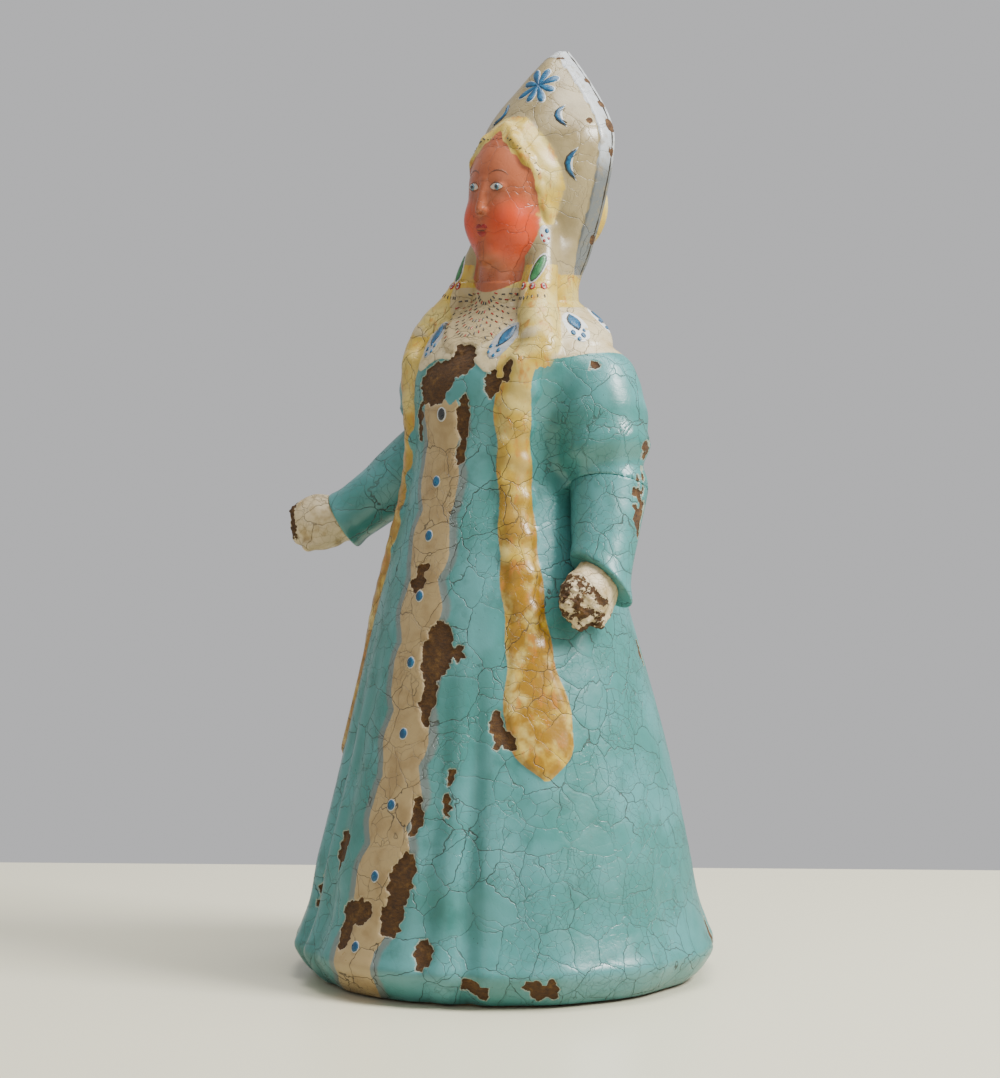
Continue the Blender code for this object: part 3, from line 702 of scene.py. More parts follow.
def bare_reach(p):
    """Millimetres inside the nearest bare patch, negative outside."""
    tree = KDTree(len(SEEDS))
    for i, (place, _) in enumerate(SEEDS):
        tree.insert(place, i)
    tree.balance()
    result = np.full(len(p), -8.0)
    places = np.array([place for place, _ in SEEDS])
    gone = np.array([lost for _, lost in SEEDS])
    cells = np.floor(places[gone] / 8).astype(int)
    beside = [(i, j, k) for i in (-1, 0, 1) for j in (-1, 0, 1) for k in (-1, 0, 1)]
    busy = {(x + i, y + j, z + k) for x, y, z in cells for i, j, k in beside}
    spots = np.floor(p / 8).astype(int)
    rows = [row for row, cell in enumerate(map(tuple, spots)) if cell in busy]
    for row in rows:
        found = tree.find_n(p[row], 9)
        first, lost = found[0], gone[found[0][1]]
        edge = 8.0
        for place, i, distance in found[1:]:
            if gone[i] != lost:
                gap = max((place - first[0]).length, 0.3)
                edge = min(edge, (distance ** 2 - first[2] ** 2) / (2 * gap))
        result[row] = edge if lost else -edge
    return result


TRIM_BEND = 108.0  # height at which the front trim is furthest to the left
TRIM_BEARING = 4.4  # degrees from straight ahead at the bend
TRIM_RISE, TRIM_FALL = 0.038, 7.9  # degrees lost per millimetre above it, and in all by the hem
TRIM_TOP = 262.5
TRIM_BORDER = 4.0


def trim_angle(z):
    """Degrees from straight ahead of the trim's middle: it leans back above the bend and curls in below."""
    below = np.maximum(TRIM_BEND - z, 0) / TRIM_BEND
    return TRIM_BEARING - TRIM_RISE * np.maximum(z - TRIM_BEND, 0) - TRIM_FALL * below ** 2


def trim_offset(p):
    """Distance to the left of the trim's middle, along the skirt's surface."""
    return np.radians(BODY.angle(p) - trim_angle(p[:, 2])) * np.hypot(p[:, 0], p[:, 1])


def trim_reach(p):
    offset, z = trim_offset(p), p[:, 2]
    lobe = 3.6 * np.abs(np.sin(z / 8.6 + 0.5)) + 0.6 * np.sin(z / 3.3)
    other = 3.6 * np.abs(np.sin(z / 9.3 + 2.1)) + 0.5 * np.sin(z / 2.9)
    half = 8.4 + 1.2 * smoothstep(200, 60, z) + np.where(offset > 0, lobe, other)
    return np.minimum(half - np.abs(offset), TRIM_TOP - z + 1.2 * np.sin(offset * 0.9))


def collar_reach(p):
    angle = np.abs(BODY.angle(p))
    edge = 281.0 + 3.0 * smoothstep(45, 85, angle) + 0.7 * np.sin(np.radians(angle * 9))
    tongue = 4.5 * np.exp(-(((angle - 31.0) / 9.0) ** 2))
    return p[:, 2] - edge + tongue


def bib_inside(p):
    """Millimetres inside the bib or one of the two tabs that hang beside it."""
    scallop = 1.1 * np.abs(np.sin(7.0 * np.arctan2(p[:, 0] / 22.5, (312.0 - p[:, 2]) / 27.0)))
    bib = np.where(p[:, 1] < -2.0, (1 - bib_reach(p)) * 24.0 + scallop, -10.0)
    tab = -ellipsoid(mirrored(p), (25.5, -8.0, 312.5), (8.5, 7.0, 5.2))
    return np.maximum(bib, tab)


def layer_height(p):
    """How far each coat of paint stands above the bare shell's surface."""
    height = 0.35 * smoothstep(-0.5, 0.5, np.maximum(collar_reach(p), trim_reach(p) + 0.2))
    bare = smoothstep(-0.55, 0.55, bare_reach(p))
    return height * (1 - bare) - CHIP_DEPTH * bare


def store(mesh, name, reach):
    """Keeps a reach in millimetres as a value that is half at the edge and 0 far outside."""
    set_attribute(mesh, name, np.clip(0.5 + reach / 20.0, 0, 1))


def paint_gown(mesh):
    p = points_of(mesh)
    skin = np.abs(figure_field(p)) < 1.9
    for name, reach in (
        ("collar", collar_reach(p)),
        ("border", np.minimum(trim_reach(p) + TRIM_BORDER, TRIM_TOP - 4.0 - p[:, 2])),
        ("trim", trim_reach(p)),
        ("bib", bib_inside(p)),
        ("braid", braid_painted(p)),
        ("bare", np.where(skin, bare_reach(p), 9.0)),
    ):
        store(mesh, name, reach)


def face_inside(p):
    x, z = np.abs(p[:, 0]), p[:, 2]
    oval = (1 - np.hypot(x / 20.4, (z - 355.5) / 31.0)) * 19.5
    oval = np.minimum(oval, (384.2 - 0.95 * x + 0.5 * np.sin(x * 1.1) - z) * 0.72)
    jaw = (1 - np.hypot(x / 20.2, (z - 341.0) / 20.0)) * 18.0
    throat = np.minimum(15.0 - x, np.minimum(340.0 - z, z - 311.5 - 0.025 * x * x))
    reach = np.maximum(np.maximum(oval, jaw), throat)
    return np.where(p[:, 1] < 9.0, reach, -10.0)


def hair_inside(p):
    cap = np.minimum(crest_field(p) - hair_cap_field(p), 6.0) + 0.4
    cap = np.minimum(cap, p[:, 2] - 341.0 + 0.3 * (20 - np.abs(p[:, 0])))
    cap = np.where(p[:, 1] < 22.0, cap, -10.0)
    fall = 319.0 - p[:, 2] + 1.5 * np.sin(p[:, 0] * 0.5)
    bun = np.minimum(np.minimum(crest_field(p) - chignon_field(p), 5.0), crest_plane(p) - CREST_BACK + 0.4)
    return np.maximum(np.maximum(cap, fall), bun)


def head_bare(p):
    reach = np.full(len(p), -9.0)
    rim = [(crest_place(side, z, ahead), reach) for side, z, ahead, reach in RIM_CHIPS]
    for centre, radii in (*rim, *HEAD_CHIPS):
        rows = near(p, np.array(centre) - 12, np.array(centre) + 12)
        reach[rows] = np.maximum(reach[rows], -ellipsoid(p[rows], centre, radii))
    return reach + 0.5 * ripple(p, 2.6, 41)


def paint_head(mesh):
    p = points_of(mesh)
    skin = np.abs(figure_field(p)) < 1.6
    behind = crest_plane(p)
    band = np.minimum(behind + 7.0 + 0.6 * ripple(p, 5.0, 51), np.where(p[:, 2] > 319.0, 5.0, -10.0))
    band = np.minimum(band, chignon_field(p) - crest_field(p) + 1.0)
    bib = np.where(p[:, 2] < 313.5, bib_inside(p), -10.0)
    braid = np.where(p[:, 2] < 324.0, braid_reach(p) + 0.5, -10.0)
    cheek = ellipsoid(mirrored(p), (12.5, -8.0, 339.0), (12.0, 12.0, 13.5))
    groove = np.where(p[:, 2] > 319.0, 0.5 + 0.35 * ripple(p, 7.0, 52) - np.abs(behind - 0.2), -9.0)
    for name, reach in (
        ("hair", hair_inside(p)),
        ("band", band),
        ("face", face_inside(p)),
        ("cheek", -cheek * 1.5),
        ("groove", groove),
        ("bib", bib),
        ("braid", braid),
        ("bare", np.where(skin, head_bare(p), 9.0)),
    ):
        store(mesh, name, reach)


# ---------------------------------------------------------------- materials

class Paint:
    """Builds a material's nodes: each method adds a node and gives its output."""

    def __init__(self, name):
        self.material = bpy.data.materials.new(name)
        self.material.use_nodes = True
        self.tree = self.material.node_tree
        self.shader = self.tree.nodes["Principled BSDF"]
        self.place = self.add("ShaderNodeTexCoord").outputs["Object"]

    def add(self, kind, **settings):
        node = self.tree.nodes.new(kind)
        for name, value in settings.items():
            setattr(node, name, value)
        return node

    def feed(self, socket, value):
        if isinstance(value, bpy.types.NodeSocket):
            self.tree.links.new(value, socket)
        elif isinstance(value, tuple) and len(value) == 3:
            socket.default_value = (*value, 1) if socket.type == "RGBA" else value
        else:
            socket.default_value = value

    def maths(self, operation, a, b=0.0, clamp=False):
        node = self.add("ShaderNodeMath", operation=operation, use_clamp=clamp)
        self.feed(node.inputs[0], a)
        self.feed(node.inputs[1], b)
        return node.outputs[0]

    def step(self, value, low, high, first=0.0, last=1.0):
        node = self.add("ShaderNodeMapRange", interpolation_type="SMOOTHSTEP")
        for i, item in enumerate((value, low, high, first, last)):
            self.feed(node.inputs[i], item)
        return node.outputs[0]

    def mix(self, factor, a, b, blend="MIX"):
        node = self.add("ShaderNodeMix", data_type="RGBA", blend_type=blend)
        self.feed(node.inputs[0], factor)
        self.feed(node.inputs[6], a)
        self.feed(node.inputs[7], b)
        return node.outputs[2]

    def noise(self, size, detail=3.0, roughness=0.55, place=None, stretch=None):
        """Noise whose features are about size millimetres across."""
        node = self.add("ShaderNodeTexNoise")
        place = place or self.place
        if stretch:
            scaled = self.add("ShaderNodeMapping")
            self.feed(scaled.inputs["Vector"], place)
            self.feed(scaled.inputs["Scale"], stretch)
            place = scaled.outputs[0]
        self.feed(node.inputs["Vector"], place)
        node.inputs["Scale"].default_value = METRE / size
        node.inputs["Detail"].default_value = detail
        node.inputs["Roughness"].default_value = roughness
        return node.outputs["Fac"]

    def warped(self, reach, size):
        """Object coordinates pushed about by up to reach millimetres."""
        noise = self.add("ShaderNodeTexNoise")
        self.feed(noise.inputs["Vector"], self.place)
        noise.inputs["Scale"].default_value = METRE / size
        noise.inputs["Detail"].default_value = 2.0
        centred = self.add("ShaderNodeVectorMath", operation="SUBTRACT")
        self.feed(centred.inputs[0], noise.outputs["Color"])
        centred.inputs[1].default_value = (0.5, 0.5, 0.5)
        scaled = self.add("ShaderNodeVectorMath", operation="SCALE")
        self.feed(scaled.inputs[0], centred.outputs[0])
        scaled.inputs["Scale"].default_value = 2 * reach / METRE
        moved = self.add("ShaderNodeVectorMath", operation="ADD")
        self.feed(moved.inputs[0], self.place)
        self.feed(moved.inputs[1], scaled.outputs[0])
        return moved.outputs[0]

    def cells(self, size, place):
        """Distance in millimetres to the nearest edge of cells of a size, and each cell's own value."""
        edge = self.add("ShaderNodeTexVoronoi", feature="DISTANCE_TO_EDGE")
        own = self.add("ShaderNodeTexVoronoi", feature="F1")
        for node in (edge, own):
            self.feed(node.inputs["Vector"], place)
            node.inputs["Scale"].default_value = METRE / size
        return self.maths("MULTIPLY", edge.outputs["Distance"], size), own.outputs["Color"]

    def area(self, name, soft=0.25, ragged=0.0):
        """1 inside a painted area and 0 outside, with an edge soft millimetres wide."""
        node = self.add("ShaderNodeAttribute", attribute_name=name)
        value = node.outputs["Fac"]
        if ragged:
            wobble = self.maths("MULTIPLY_ADD", self.noise(1.6, 3.0), ragged / 10.0)
            wobble.node.inputs[2].default_value = -ragged / 20.0
            value = self.maths("ADD", value, wobble)
        return self.step(value, 0.5 - soft / 40.0, 0.5 + soft / 40.0)

    def area_near(self, name, wider, ragged):
        """The area as it would be if its outline lay wider millimetres further out."""
        node = self.add("ShaderNodeAttribute", attribute_name=name)
        wobble = self.maths("MULTIPLY_ADD", self.noise(1.6, 3.0), ragged / 10.0)
        wobble.node.inputs[2].default_value = (wider - ragged) / 20.0 + (ragged - wider / 2) / 40.0
        value = self.maths("ADD", node.outputs["Fac"], wobble)
        return self.step(value, 0.5, 0.5 + wider / 40.0)

    def mix_value(self, factor, a, b):
        node = self.add("ShaderNodeMix", data_type="FLOAT")
        self.feed(node.inputs[0], factor)
        self.feed(node.inputs[2], a)
        self.feed(node.inputs[3], b)
        return node.outputs[0]

    def finish(self, colour, roughness, height, depth, specular=0.5):
        bump = self.add("ShaderNodeBump")
        bump.inputs["Strength"].default_value = 1.0
        bump.inputs["Distance"].default_value = depth / METRE
        self.feed(bump.inputs["Height"], height)
        self.feed(self.shader.inputs["Base Color"], colour)
        self.feed(self.shader.inputs["Roughness"], roughness)
        self.feed(self.shader.inputs["Normal"], bump.outputs[0])
        self.shader.inputs["Specular IOR Level"].default_value = specular
        return self.material


TURQUOISE, TURQUOISE_DEEP, TURQUOISE_PALE = (0.036, 0.165, 0.150), (0.024, 0.115, 0.100), (0.065, 0.22, 0.22)
CREAM, CREAM_DEEP, BIB = (0.45, 0.375, 0.22), (0.38, 0.295, 0.145), (0.35, 0.27, 0.135)
BEIGE, BEIGE_DEEP, BORDER = (0.34, 0.245, 0.115), (0.26, 0.175, 0.075), (0.13, 0.145, 0.135)
YELLOW, YELLOW_PALE, YELLOW_DEEP, ORANGE = (
    (0.42, 0.28, 0.028), (0.48, 0.38, 0.115), (0.23, 0.115, 0.001), (0.36, 0.13, 0.008),
)
CREST, CREST_DEEP = (0.26, 0.205, 0.10), (0.19, 0.143, 0.062)
WHITE, DARK_GREY = (0.36, 0.38, 0.39), (0.10, 0.11, 0.11)
SKIN, SKIN_DEEP, CHEEK = (0.32, 0.085, 0.032), (0.26, 0.058, 0.018), (0.46, 0.040, 0.002)
HAND, HAND_DEEP = (0.52, 0.42, 0.25), (0.33, 0.235, 0.10)
PULP, PULP_PALE, PULP_DARK = (0.072, 0.030, 0.005), (0.14, 0.068, 0.014), (0.026, 0.011, 0.003)
GESSO = (0.50, 0.41, 0.27)
CRACK, GRIME = (0.020, 0.015, 0.009), (0.06, 0.045, 0.022)


def pulp_colour(paint):
    fibre = paint.noise(2.2, 6.0, 0.7, stretch=(1.0, 1.0, 2.4))
    colour = paint.mix(paint.step(fibre, 0.3, 0.66), PULP_DARK, PULP)
    return paint.mix(paint.step(paint.noise(4.5, 5.0, 0.7), 0.50, 0.72, 0.0, 0.8), colour, PULP_PALE)


def crack_lines(paint, size, amount):
    """Lines of three sizes of crazing, and the height of the islands between them."""
    bent = paint.warped(size * 0.16, size * 0.45)
    coarse, island = paint.cells(size, bent)
    shifted = paint.add("ShaderNodeVectorMath", operation="ADD")
    paint.feed(shifted.inputs[0], bent)
    paint.feed(shifted.inputs[1], island)
    fine, _ = paint.cells(size * 0.5, shifted.outputs[0])
    hair, _ = paint.cells(size * 0.27, shifted.outputs[0])
    wide = paint.step(coarse, 0.03, 0.20, 1.0, 0.0)
    wide = paint.maths("MULTIPLY", wide, paint.step(paint.noise(size * 1.9, 2.0), 0.34, 0.60, 0.25, 1.0))
    split = paint.add("ShaderNodeSeparateXYZ")
    paint.feed(split.inputs[0], island)
    thin = paint.step(fine, 0.02, 0.14, 1.0, 0.0)
    thin = paint.maths("MULTIPLY", thin, paint.step(split.outputs["X"], 0.30, 0.75, 0.0, 0.6))
    faint = paint.step(hair, 0.0, 0.10, 1.0, 0.0)
    faint = paint.maths("MULTIPLY", faint, paint.step(split.outputs["Y"], 0.35, 0.85, 0.0, 0.45))
    lines = paint.maths("MAXIMUM", wide, paint.maths("MAXIMUM", thin, faint))
    cupped = paint.maths(
        "ADD", paint.step(coarse, 0.0, 1.5, 0.0, 0.42), paint.step(fine, 0.0, 0.8, 0.0, 0.10)
    )
    return paint.maths("MULTIPLY", lines, amount), cupped


def enamel_height(paint, lines, cupped, bare):
    soft = paint.maths("MULTIPLY", paint.noise(7.0, 3.0), 0.55)
    grain = paint.maths("MULTIPLY", paint.noise(0.8, 2.0), 0.10)
    whole = paint.maths("ADD", paint.maths("ADD", soft, grain), paint.maths("MULTIPLY", cupped, 0.5))
    whole = paint.maths("SUBTRACT", whole, paint.maths("MULTIPLY", lines, 0.9))
    fibre = paint.maths("MULTIPLY", paint.noise(1.4, 5.0, 0.7), 1.3)
    return paint.mix_value(bare, paint.maths("ADD", whole, 1.2), fibre)


def with_wear(paint, colour, lines, bare, rim):
    """Cracks, the pale gesso edge round each loss, and the pulp inside it."""
    colour = paint.mix(paint.maths("MULTIPLY", lines, 0.82), colour, CRACK)
    colour = paint.mix(paint.maths("MULTIPLY", rim, 0.4), colour, GESSO)
    return paint.mix(bare, colour, pulp_colour(paint))


def cached(function):
    made = {}

    def once():
        if "value" not in made:
            made["value"] = function()
        return made["value"]

    return once


@cached
def gown_material():
    paint = Paint("gown_paint")
    tone = paint.noise(34.0, 3.0)
    colour = paint.mix(paint.step(tone, 0.35, 0.68), TURQUOISE, TURQUOISE_PALE)
    colour = paint.mix(paint.step(paint.noise(12.0, 4.0), 0.52, 0.72, 0.0, 0.55), colour, TURQUOISE_DEEP)
    cream = paint.mix(paint.step(paint.noise(9.0, 4.0), 0.42, 0.66), CREAM, CREAM_DEEP)
    colour = paint.mix(paint.area("collar", 0.5, 0.4), colour, cream)
    colour = paint.mix(paint.maths("MULTIPLY", paint.area("border", 2.2, 0.8), 0.85), colour, BORDER)
    beige = paint.mix(paint.step(paint.noise(9.0, 3.0), 0.4, 0.7), BEIGE, BEIGE_DEEP)
    colour = paint.mix(paint.area("trim", 0.5, 0.4), colour, beige)
    colour = paint.mix(paint.area("bib", 0.4, 0.3), colour, BIB)
    colour = paint.mix(paint.area("braid", 0.7, 0.4), colour, hair_colour(paint))
    grime = paint.step(paint.noise(5.0, 6.0, 0.7), 0.60, 0.80, 0.0, 0.35)
    colour = paint.mix(grime, colour, GRIME)
    specks = paint.step(paint.noise(1.5, 2.0), 0.735, 0.77, 0.0, 0.75)
    colour = paint.mix(specks, colour, CRACK)
    bare = paint.area("bare", 0.25, 0.5)
    rim = paint.maths("SUBTRACT", paint.area_near("bare", 0.28, 0.5), bare, clamp=True)
    lines, cupped = crack_lines(paint, 16.0, 1.0)
    colour = with_wear(paint, colour, lines, bare, rim)
    sheen = paint.step(paint.noise(16.0, 4.0), 0.3, 0.7, 0.27, 0.42)
    rough = paint.mix_value(bare, paint.mix_value(lines, sheen, 0.7), 0.92)
    return paint.finish(colour, rough, enamel_height(paint, lines, cupped, bare), 0.32)


def hair_colour(paint):
    height = paint.add("ShaderNodeSeparateXYZ")
    paint.feed(height.inputs[0], paint.place)
    strand = paint.noise(4.4, 3.0, 0.6, stretch=(1.0, 1.0, 0.5))
    colour = paint.mix(paint.step(paint.noise(14.0, 2.0), 0.35, 0.65), YELLOW, YELLOW_PALE)
    low = paint.step(height.outputs["Z"], 0.18, 0.30, 1.0, 0.1)
    patchy = paint.maths("MULTIPLY", low, paint.step(paint.noise(10.0, 3.0), 0.3, 0.55))
    colour = paint.mix(patchy, colour, YELLOW_DEEP)
    return paint.mix(paint.step(strand, 0.53, 0.69, 0.0, 0.70), colour, ORANGE)


@cached
def head_material():
    paint = Paint("head_paint")
    colour = paint.mix(paint.step(paint.noise(14.0, 4.0), 0.4, 0.7), CREST, CREST_DEEP)
    height = paint.add("ShaderNodeSeparateXYZ")
    paint.feed(height.inputs[0], paint.place)
    upper = paint.step(height.outputs["Z"], 0.362, 0.378)
    band = paint.mix(upper, DARK_GREY, WHITE)
    band = paint.mix(paint.step(paint.noise(5.0, 5.0, 0.7), 0.45, 0.70, 0.0, 0.6), band, CREST_DEEP)
    colour = paint.mix(paint.area("hair", 1.0, 0.6), colour, hair_colour(paint))
    colour = paint.mix(paint.area("band", 0.5, 0.3), colour, band)
    colour = paint.mix(paint.area("bib", 0.4, 0.3), colour, BIB)
    colour = paint.mix(paint.area("braid", 0.7, 0.4), colour, hair_colour(paint))
    blush = paint.area("cheek", 16.0, 0.0)
    skin = paint.mix(paint.step(paint.noise(8.0, 3.0), 0.4, 0.7), SKIN, SKIN_DEEP)
    skin = paint.mix(blush, skin, CHEEK)
    colour = paint.mix(paint.area("face", 0.5, 0.3), colour, skin)
    grime = paint.step(paint.noise(4.0, 6.0, 0.7), 0.62, 0.80, 0.0, 0.35)
    colour = paint.mix(grime, colour, GRIME)
    colour = paint.mix(paint.area("groove", 0.3, 0.2), colour, CRACK)
    bare = paint.area("bare", 0.25, 0.4)
    lines, cupped = crack_lines(paint, 20.0, 0.6)
    colour = with_wear(paint, colour, lines, bare, 0.0)
    sheen = paint.step(paint.noise(12.0, 4.0), 0.3, 0.7, 0.26, 0.40)
    rough = paint.mix_value(bare, paint.mix_value(lines, sheen, 0.7), 0.92)
    return paint.finish(colour, rough, enamel_height(paint, lines, cupped, bare), 0.30)


@cached
def hand_material():
    paint = Paint("hand_gesso")
    colour = paint.mix(paint.step(paint.noise(6.0, 4.0), 0.4, 0.7), HAND, HAND_DEEP)
    worn = paint.area("bare", 0.5, 2.6)
    left = paint.maths("MULTIPLY", paint.step(paint.noise(5.2, 6.0, 0.62), 0.50, 0.525), 0.97)
    bare = paint.maths("MULTIPLY", worn, paint.maths("SUBTRACT", 1.0, left))
    rim = paint.maths("SUBTRACT", paint.area_near("bare", 0.8, 2.6), worn, clamp=True)
    lines, cupped = crack_lines(paint, 13.0, 0.7)
    colour = with_wear(paint, colour, lines, bare, rim)
    rough = paint.mix_value(bare, 0.5, 0.92)
    return paint.finish(colour, rough, enamel_height(paint, lines, cupped, bare), 0.45)


def enamel_dab_material(name, colour, second):
    """Thick enamel laid on with a brush: two tones, brush ridges and worn spots."""
    paint = Paint(name)
    mixed = paint.mix(paint.step(paint.noise(2.4, 4.0), 0.38, 0.66), colour, second)
    worn = paint.step(paint.noise(1.1, 5.0, 0.7), 0.66, 0.74, 0.0, 0.7)
    mixed = paint.mix(worn, mixed, GRIME)
    ridges = paint.noise(0.7, 3.0, 0.6)
    return paint.finish(mixed, paint.step(paint.noise(3.0), 0.3, 0.7, 0.25, 0.45), ridges, 0.12)


def card_material():
    """Grey-brown board, with flecks and lines left by the rollers."""
    paint = Paint("board")
    flecks = paint.noise(0.9, 6.0, 0.75)
    lines = paint.noise(2.0, 4.0, 0.6, stretch=(1.0, 0.12, 1.0))
    colour = paint.mix(paint.step(lines, 0.35, 0.65), (0.22, 0.155, 0.085), (0.30, 0.22, 0.13))
    colour = paint.mix(paint.step(flecks, 0.56, 0.70, 0.0, 0.6), colour, (0.10, 0.065, 0.035))
    stain = paint.step(paint.noise(40.0, 3.0), 0.50, 0.72, 0.0, 0.5)
    colour = paint.mix(stain, colour, (0.13, 0.085, 0.045))
    return paint.finish(colour, 0.85, paint.maths("ADD", flecks, lines), 0.18)


def paper_material():
    """Glued newsprint strip: long fibres and dried glue."""
    paint = Paint("glued_strip")
    fibres = paint.noise(1.6, 5.0, 0.7, stretch=(1.0, 1.0, 0.25))
    colour = paint.mix(paint.step(fibres, 0.3, 0.7), (0.30, 0.23, 0.13), (0.42, 0.34, 0.21))
    glue = paint.step(paint.noise(12.0, 3.0), 0.45, 0.65)
    colour = paint.mix(paint.maths("MULTIPLY", glue, 0.5), colour, (0.20, 0.12, 0.05))
    return paint.finish(colour, paint.mix_value(glue, 0.9, 0.35), fibres, 0.25)


def steel_material():
    """Blued steel with rust freckles."""
    paint = Paint("blued_steel")
    rust = paint.step(paint.noise(1.3, 5.0, 0.7), 0.50, 0.66)
    colour = paint.mix(rust, (0.20, 0.20, 0.21), (0.14, 0.045, 0.012))
    paint.feed(paint.shader.inputs["Metallic"], paint.mix_value(rust, 1.0, 0.0))
    return paint.finish(colour, paint.mix_value(rust, 0.38, 0.85), rust, 0.10)


def finish_carried_over():
    """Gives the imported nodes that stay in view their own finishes."""
    board, strip, steel = card_material(), paper_material(), steel_material()
    for name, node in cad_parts.items():
        if name in ("base_disc", "neck_tube"):
            material = board
        elif name.endswith("seam_strip"):
            material = strip
        elif name.startswith("base_tack"):
            material = steel
        else:
            continue
        node.data.materials.clear()
        node.data.materials.append(material)


# ---------------------------------------------------------------- brushwork

STROKE_STEPS = 9
STROKE_SECTION = ((-1.0, None), (-0.8, 0.6), (-0.35, 1.0), (0.35, 1.0), (0.8, 0.6), (1.0, None))
SUNK = -0.25


def onto_skin(points):
    for _ in range(4):
        points = settle(figure_field, points, 1.6)
    return points


def skin_normals(points):
    normals = slope(figure_field, points, 0.4)
    return normals / np.maximum(np.linalg.norm(normals, axis=-1, keepdims=True), 1e-6)


class Brush:
    """Gathers raised strokes of one colour on the figure's skin into one piece."""

    def __init__(self, name, colour, second, height, slot="ornament_enamel"):
        self.name, self.colours, self.height, self.slot = name, (colour, second), height, slot
        self.strokes = []

    def stroke(self, centre, line, half, shape="leaf", up=(0, 0, 1), both=False, raise_by=0.0):
        """A stroke through two or three points given as right and up of the centre."""
        if len(line) == 2:
            line = (line[0], ((line[0][0] + line[1][0]) / 2, (line[0][1] + line[1][1]) / 2), line[1])
        self.strokes.append((centre, up, line, half, shape, raise_by))
        if both:
            centre, up = (-centre[0], *centre[1:]), (-up[0], *up[1:])
            line = tuple((-x, y) for x, y in line)
            self.strokes.append((centre, up, line, half, shape, raise_by))

    def dot(self, centre, radius, tall=1.0, both=False, raise_by=0.0):
        half = radius * tall
        self.stroke(centre, ((0, half), (0, -half)), radius, "round", both=both, raise_by=raise_by)

    def lay(self):
        centres = onto_skin(np.array([stroke[0] for stroke in self.strokes], dtype=np.float64))
        normals = skin_normals(centres)
        ups = np.array([stroke[1] for stroke in self.strokes], dtype=np.float64)
        ups -= normals * (ups * normals).sum(axis=1, keepdims=True)
        ups /= np.linalg.norm(ups, axis=1, keepdims=True)
        rights = np.cross(ups, normals)
        lines = np.array([stroke[2] for stroke in self.strokes], dtype=np.float64)
        t = (1 - np.cos(np.linspace(0, math.pi, STROKE_STEPS))) / 2
        handle = 2 * lines[:, 1] - (lines[:, 0] + lines[:, 2]) / 2
        flat = (
            lines[:, None, 0] * ((1 - t) ** 2)[None, :, None]
            + handle[:, None] * (2 * t * (1 - t))[None, :, None]
            + lines[:, None, 2] * (t ** 2)[None, :, None]
        )
        spine = centres[:, None] + rights[:, None] * flat[..., :1] + ups[:, None] * flat[..., 1:]
        spine = onto_skin(spine.reshape(-1, 3)).reshape(spine.shape)
        along = np.gradient(spine, axis=1)
        facing = skin_normals(spine.reshape(-1, 3)).reshape(spine.shape)
        side = np.cross(facing, along)
        side /= np.maximum(np.linalg.norm(side, axis=2, keepdims=True), 1e-6)
        bulge = 1 - (2 * t - 1) ** 2
        outline = {
            "leaf": bulge, "round": np.sqrt(bulge), "even": np.minimum(1, 3 * np.sqrt(bulge)),
            "petal": 1.3 * np.sqrt(bulge) * (0.25 + 0.75 * t),
        }
        half = np.array([outline[stroke[4]] * stroke[3] for stroke in self.strokes]) + 0.03
        height = np.array([self.height + stroke[5] for stroke in self.strokes])
        rings = []
        for across, share in STROKE_SECTION:
            place = spine + side * (half * across)[..., None]
            place = onto_skin(place.reshape(-1, 3))
            rise = SUNK if share is None else 1.0
            if share is not None:
                rise = np.repeat(height * share, STROKE_STEPS)[:, None]
            rings.append(place + skin_normals(place) * (rise + coat(place)[:, None]))
        points = np.stack([ring.reshape(spine.shape) for ring in rings], axis=2)
        sides, per_stroke = len(STROKE_SECTION), STROKE_STEPS * len(STROKE_SECTION)
        faces = []
        for i in range(len(self.strokes)):
            first = i * per_stroke
            for j in range(STROKE_STEPS - 1):
                for k in range(sides):
                    a = first + j * sides + k
                    b = first + j * sides + (k + 1) % sides
                    faces.append((a, b, b + sides, a + sides))
            last = first + (STROKE_STEPS - 1) * sides
            faces += [(first + 3, first + 2, first + 1, first), (first + 5, first + 4, first + 3, first)]
            faces += [(last, last + 1, last + 2, last + 3), (last, last + 3, last + 4, last + 5)]
        mesh = new_mesh(self.name, points.reshape(-1, 3), np.array(faces)[:, ::-1])
        mesh.shade_smooth()
        mesh.materials.append(enamel_dab_material(self.name, *self.colours))
        return new_piece(self.name, mesh, self.slot)


def coat(p):
    """Height of the collar's and trim's coat of paint over the bare skin."""
    low = (p[:, 2] < NECK_Z) & (np.maximum(collar_reach(p), trim_reach(p)) > 0)
    return np.where(low, 0.35, 0.0)


